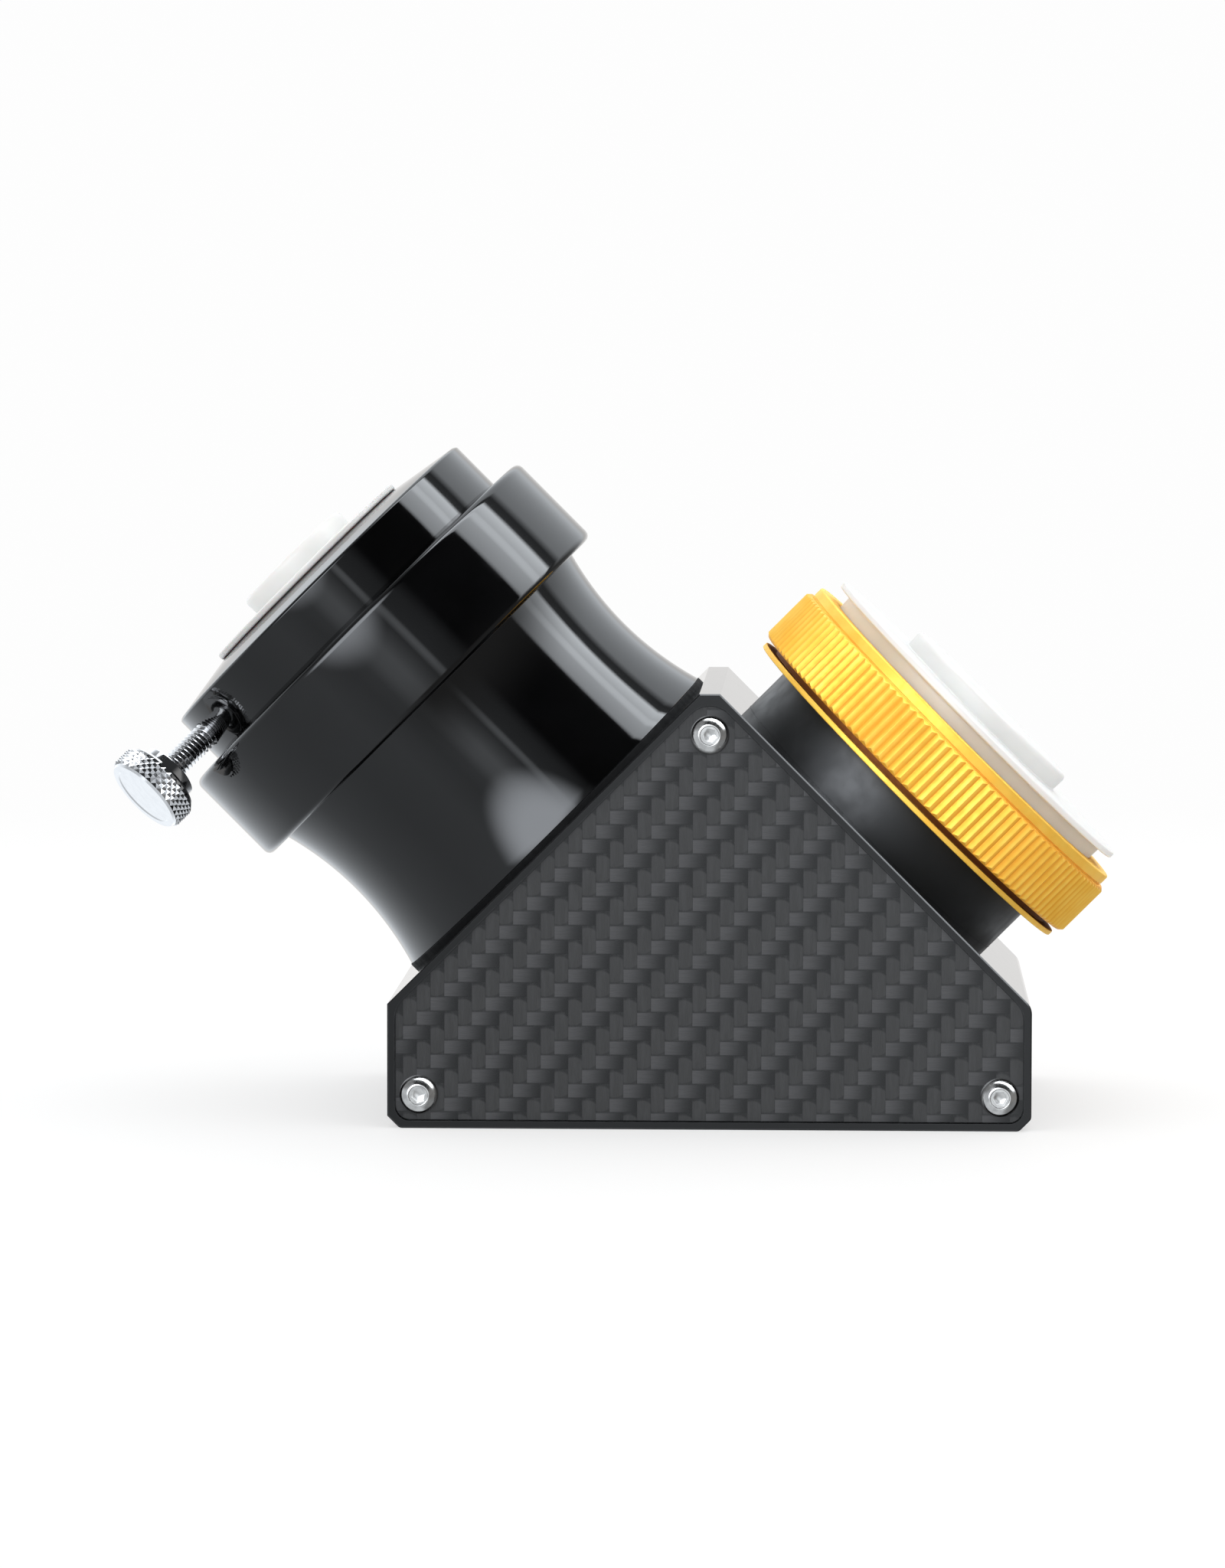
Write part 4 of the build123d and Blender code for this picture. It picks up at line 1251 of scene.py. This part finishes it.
# ---- studio
@dataclass
class Studio:
    """Pale floor, white surround, a banded tent that shows only in gloss, and the camera."""

    floor_radius: float = 3.0
    tent_radius: float = 4.0
    pale: float = 0.985
    surround: float = 1.3
    backlight: float = 0.55
    tent_lift: float = 10.0
    tent_tint: Triple = (0.93, 0.98, 1.03)
    floor_fade: Pair = (150.0, 600.0)
    # Round the eyepiece's axis, from straight ahead: degrees and brightness
    bands: tuple[Pair, ...] = (
        (-180, 1.5), (-150, 1.3), (-120, 0.95), (-100, 0.72), (-60, 0.66), (-30, 0.76),
        (-14, 0.62), (-7, 0.7), (-1, 1.2), (5, 1.35), (10, 0.9), (16, 0.45), (17.5, 1.5),
        (19.5, 1.5), (21, 0.38), (30, 0.3), (37, 0.03), (76, 0.04), (78, 4.8), (89, 6.2),
        (90.5, 8.6), (94, 8.6), (95.5, 7.0), (103, 8.6), (105, 0.4), (111, 0.25),
        (117, 1.8), (140, 1.5), (180, 1.45),
    )
    glow_at: Triple = (-0.42, -0.83, 0.37)
    glow: Triple = (6.045, 6.37, 6.825)
    glow_reach: Pair = (0.865, 0.985)
    low_end: Triple = (0.25, 0.25, 0.25)
    far_end: Triple = (0.26, 0.27, 0.28)
    straight_ahead: Triple = (0.98, 0.97, 0.96)
    lens: float = 153.57
    place: Triple = (0.01938, -1.00310, 0.12433)
    yaw: float = -0.03455
    pitch: float = -0.07593
    roll: float = 0.00161

    def _put(self, name: str, bm: bmesh.types.BMesh, shade: Shade) -> bpy.types.Object:
        """Makes a stage object of a finished mesh."""
        mesh = bpy.data.meshes.new(name)
        bm.to_mesh(mesh)
        bm.free()
        mesh.materials.append(shade.material)
        item = shown(name, mesh)
        return item

    def _floor(self) -> None:
        """A wide round backlit floor that fades into the surround."""
        bm = bmesh.new()
        bmesh.ops.create_circle(bm, cap_ends=True, segments=128, radius=self.floor_radius)
        shade = Shade("studio_floor", {"Roughness": 0.7, "Specular IOR Level": 0.1})
        grain = shade.noise(0.02, 3.0)
        shade.put("Base Color", shade.blend(grain, (0.86, 0.86, 0.86), (0.88, 0.88, 0.88)))
        far = shade.span(shade.vector("LENGTH", shade.place), *self.floor_fade, self.backlight,
                         1.0)
        glow = shade.tree.nodes.new("ShaderNodeEmission")
        glow.inputs["Color"].default_value = (self.pale, self.pale, self.pale, 1)
        mixer = shade.tree.nodes.new("ShaderNodeMixShader")
        shade.tree.links.new(far, mixer.inputs[0])
        shade.tree.links.new(shade.surface.outputs[0], mixer.inputs[1])
        shade.tree.links.new(glow.outputs[0], mixer.inputs[2])
        out = shade.tree.nodes["Material Output"]
        shade.tree.links.new(mixer.outputs[0], out.inputs[0])
        self._put("studio_floor", bm, shade).visible_glossy = False

    def _surround(self) -> None:
        """A white surround that shows pale and lights evenly."""
        world = bpy.data.worlds.new("studio_surround")
        world.use_nodes = True
        nodes, links = world.node_tree.nodes, world.node_tree.links
        seen, light = nodes["Background"], nodes.new("ShaderNodeBackground")
        seen.inputs["Color"].default_value = (self.pale, self.pale, self.pale, 1)
        light.inputs["Color"].default_value = (self.surround, self.surround, self.surround, 1)
        path, mixer = nodes.new("ShaderNodeLightPath"), nodes.new("ShaderNodeMixShader")
        links.new(path.outputs["Is Camera Ray"], mixer.inputs[0])
        links.new(light.outputs[0], mixer.inputs[1])
        links.new(seen.outputs[0], mixer.inputs[2])
        links.new(mixer.outputs[0], nodes["World Output"].inputs[0])
        world.cycles_visibility.glossy = False
        bpy.context.scene.world = world

    def _tent(self, eye: TurnAxis) -> None:
        """A round tent whose soft and dark strips run along the eyepiece's axis."""
        bm = bmesh.new()
        bmesh.ops.create_uvsphere(bm, u_segments=96, v_segments=48, radius=self.tent_radius)
        shade = Shade("studio_tent", {"Specular IOR Level": 0.0, "Emission Strength": 1.0})
        shade.surface.inputs["Base Color"].default_value = (0, 0, 0, 1)
        way = shade.vector("NORMALIZE", shade.place)
        along = shade.vector("DOT_PRODUCT", way, tuple(eye.direction))
        side = Vector((0, 1, 0)).cross(eye.direction)
        right = shade.vector("DOT_PRODUCT", way, tuple(side if side.x > 0 else -side))
        ahead = shade.vector("DOT_PRODUCT", way, (0.0, -1.0, 0.0))
        turn = shade.math("DIVIDE", shade.math("ARCTAN2", right, ahead), 2 * math.pi)
        ramp = shade.tree.nodes.new("ShaderNodeValToRGB")
        shade.tree.links.new(shade.math("ADD", turn, 0.5), ramp.inputs[0])
        stops = ramp.color_ramp.elements
        for index, (angle, level) in enumerate(self.bands):
            stop = stops[index] if index < 2 else stops.new((angle + 180) / 360)
            stop.position = (angle + 180) / 360
            stop.color = (*(level / self.tent_lift * tint for tint in self.tent_tint), 1)
        strips = shade.vector("SCALE", ramp.outputs[0], scale=self.tent_lift)
        # Darker towards both ends of the axis, and darker low on the telescope's side
        low = shade.times(shade.span(along, -0.05, -0.5), shade.span(right, -0.35, 0.1))
        strips = shade.blend(low, strips, self.low_end)
        ends = shade.span(shade.math("ABSOLUTE", along), 0.80, 0.96)
        strips = shade.blend(ends, strips, self.far_end)
        strips = shade.blend(shade.span(ahead, -0.90, -0.97), strips, self.straight_ahead)
        spot = shade.vector("DOT_PRODUCT", way, tuple(Vector(self.glow_at).normalized()))
        strips = shade.blend(shade.span(spot, *self.glow_reach), strips, self.glow)
        shade.put("Emission Color", strips)
        tent = self._put("studio_tent", bm, shade)
        tent.visible_camera = tent.visible_shadow = tent.visible_diffuse = False
        tent.visible_transmission = tent.visible_volume_scatter = False

    def _camera(self) -> None:
        """The camera, low in front of the panel side."""
        data = bpy.data.cameras.new("main_camera")
        data.lens, data.sensor_width = self.lens, 36.0
        data.clip_start, data.clip_end = 0.05, 20.0
        camera = shown("main_camera", data)
        ahead = Vector((math.sin(self.yaw) * math.cos(self.pitch),
                        math.cos(self.yaw) * math.cos(self.pitch), math.sin(self.pitch)))
        level = Vector((math.cos(self.yaw), -math.sin(self.yaw), 0))
        rise = level.cross(ahead)
        right = level * math.cos(self.roll) + rise * math.sin(self.roll)
        up = rise * math.cos(self.roll) - level * math.sin(self.roll)
        turn = Matrix((right, up, -ahead)).transposed().to_4x4()
        camera.matrix_world = Matrix.Translation(self.place) @ turn
        bpy.context.scene.camera = camera

    def build(self, eye: TurnAxis) -> None:
        """Sets the floor, the surround, the tent and the camera."""
        self._floor()
        self._surround()
        self._tent(eye)
        self._camera()
        bpy.context.scene.view_settings.view_transform = "Standard"
        bpy.context.scene.view_settings.look = "None"


# ---- assembly
def screw_places(node: str, face: float) -> list[Vector]:
    """Finds the axis of each screw in a CAD group of panel screws.

    Args:
        node: the CAD group.
        face: the Y of the panel's outer face, in metres.

    Returns:
        Where each screw's axis meets that face, from left to right.
    """
    heads = [v.co.copy() for v in frame["nodes"][node].data.vertices if abs(v.co.y) > abs(face)]
    groups: list[list[Vector]] = []
    for point in heads:
        near = next((g for g in groups if (g[0] - point).length < 0.012), None)
        if near is None:
            groups.append([point])
        else:
            near.append(point)
    places = []
    for group in groups:
        x = (min(p.x for p in group) + max(p.x for p in group)) / 2
        z = (min(p.z for p in group) + max(p.z for p in group)) / 2
        places.append(Vector((x, face, z)))
    return sorted(places, key=lambda p: p.x)


def main() -> None:
    """Builds the diagonal piece by piece, then the studio round it."""
    logging.basicConfig(level=logging.INFO, format="%(message)s")
    eye, tele = light_axes()
    finishes = Finishes(eye, tele)
    adapter_screw = joint_line("adapter_screw_turn")
    holder_screw = joint_line("holder_screw_turn")

    EyepieceHolder(eye).build(finishes, holder_screw)
    Adapter(eye).build(finishes, adapter_screw)
    Nose(tele).build(finishes)
    CouplingRing(tele).build(finishes)
    Thumbscrew(tip=17.48, shoulder=37.30).build(
        "adapter_thumbscrew_knurled", "adapter_thumbscrew", adapter_screw, Body.ADAPTER_SCREW,
        finishes.plating,
    )
    Thumbscrew(tip=27.03, shoulder=39.0).build(
        "holder_thumbscrew_knurled", "holder_thumbscrew", holder_screw, Body.HOLDER_SCREW,
        finishes.plating,
    )
    DustCap(eye, plug_radius=15.75, plug_end=82.093, flange_radius=18.3, flange_back=86.25,
            boss_radius=9.8, boss_height=2.99).build(
        "eyepiece_cap_moulded", "eyepiece_cap", Body.EYEPIECE_CAP, finishes.plastic)
    DustCap(tele, plug_radius=26.55, plug_end=51.303, flange_radius=28.7, flange_back=55.353,
            boss_radius=15.5, boss_height=3.0).build(
        "telescope_cap_moulded", "telescope_cap", Body.TELESCOPE_CAP, finishes.plastic)
    for side in ("front", "rear"):
        low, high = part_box(f"{side}_side_panel")
        face = low.y if side == "front" else high.y
        node = f"{side}_panel_screws"
        ButtonScrews(face).build(node, finishes.steel, screw_places(node, face))
    Carried(finishes).dress()
    Studio().build(eye)


if __name__ == "__main__":
    main()
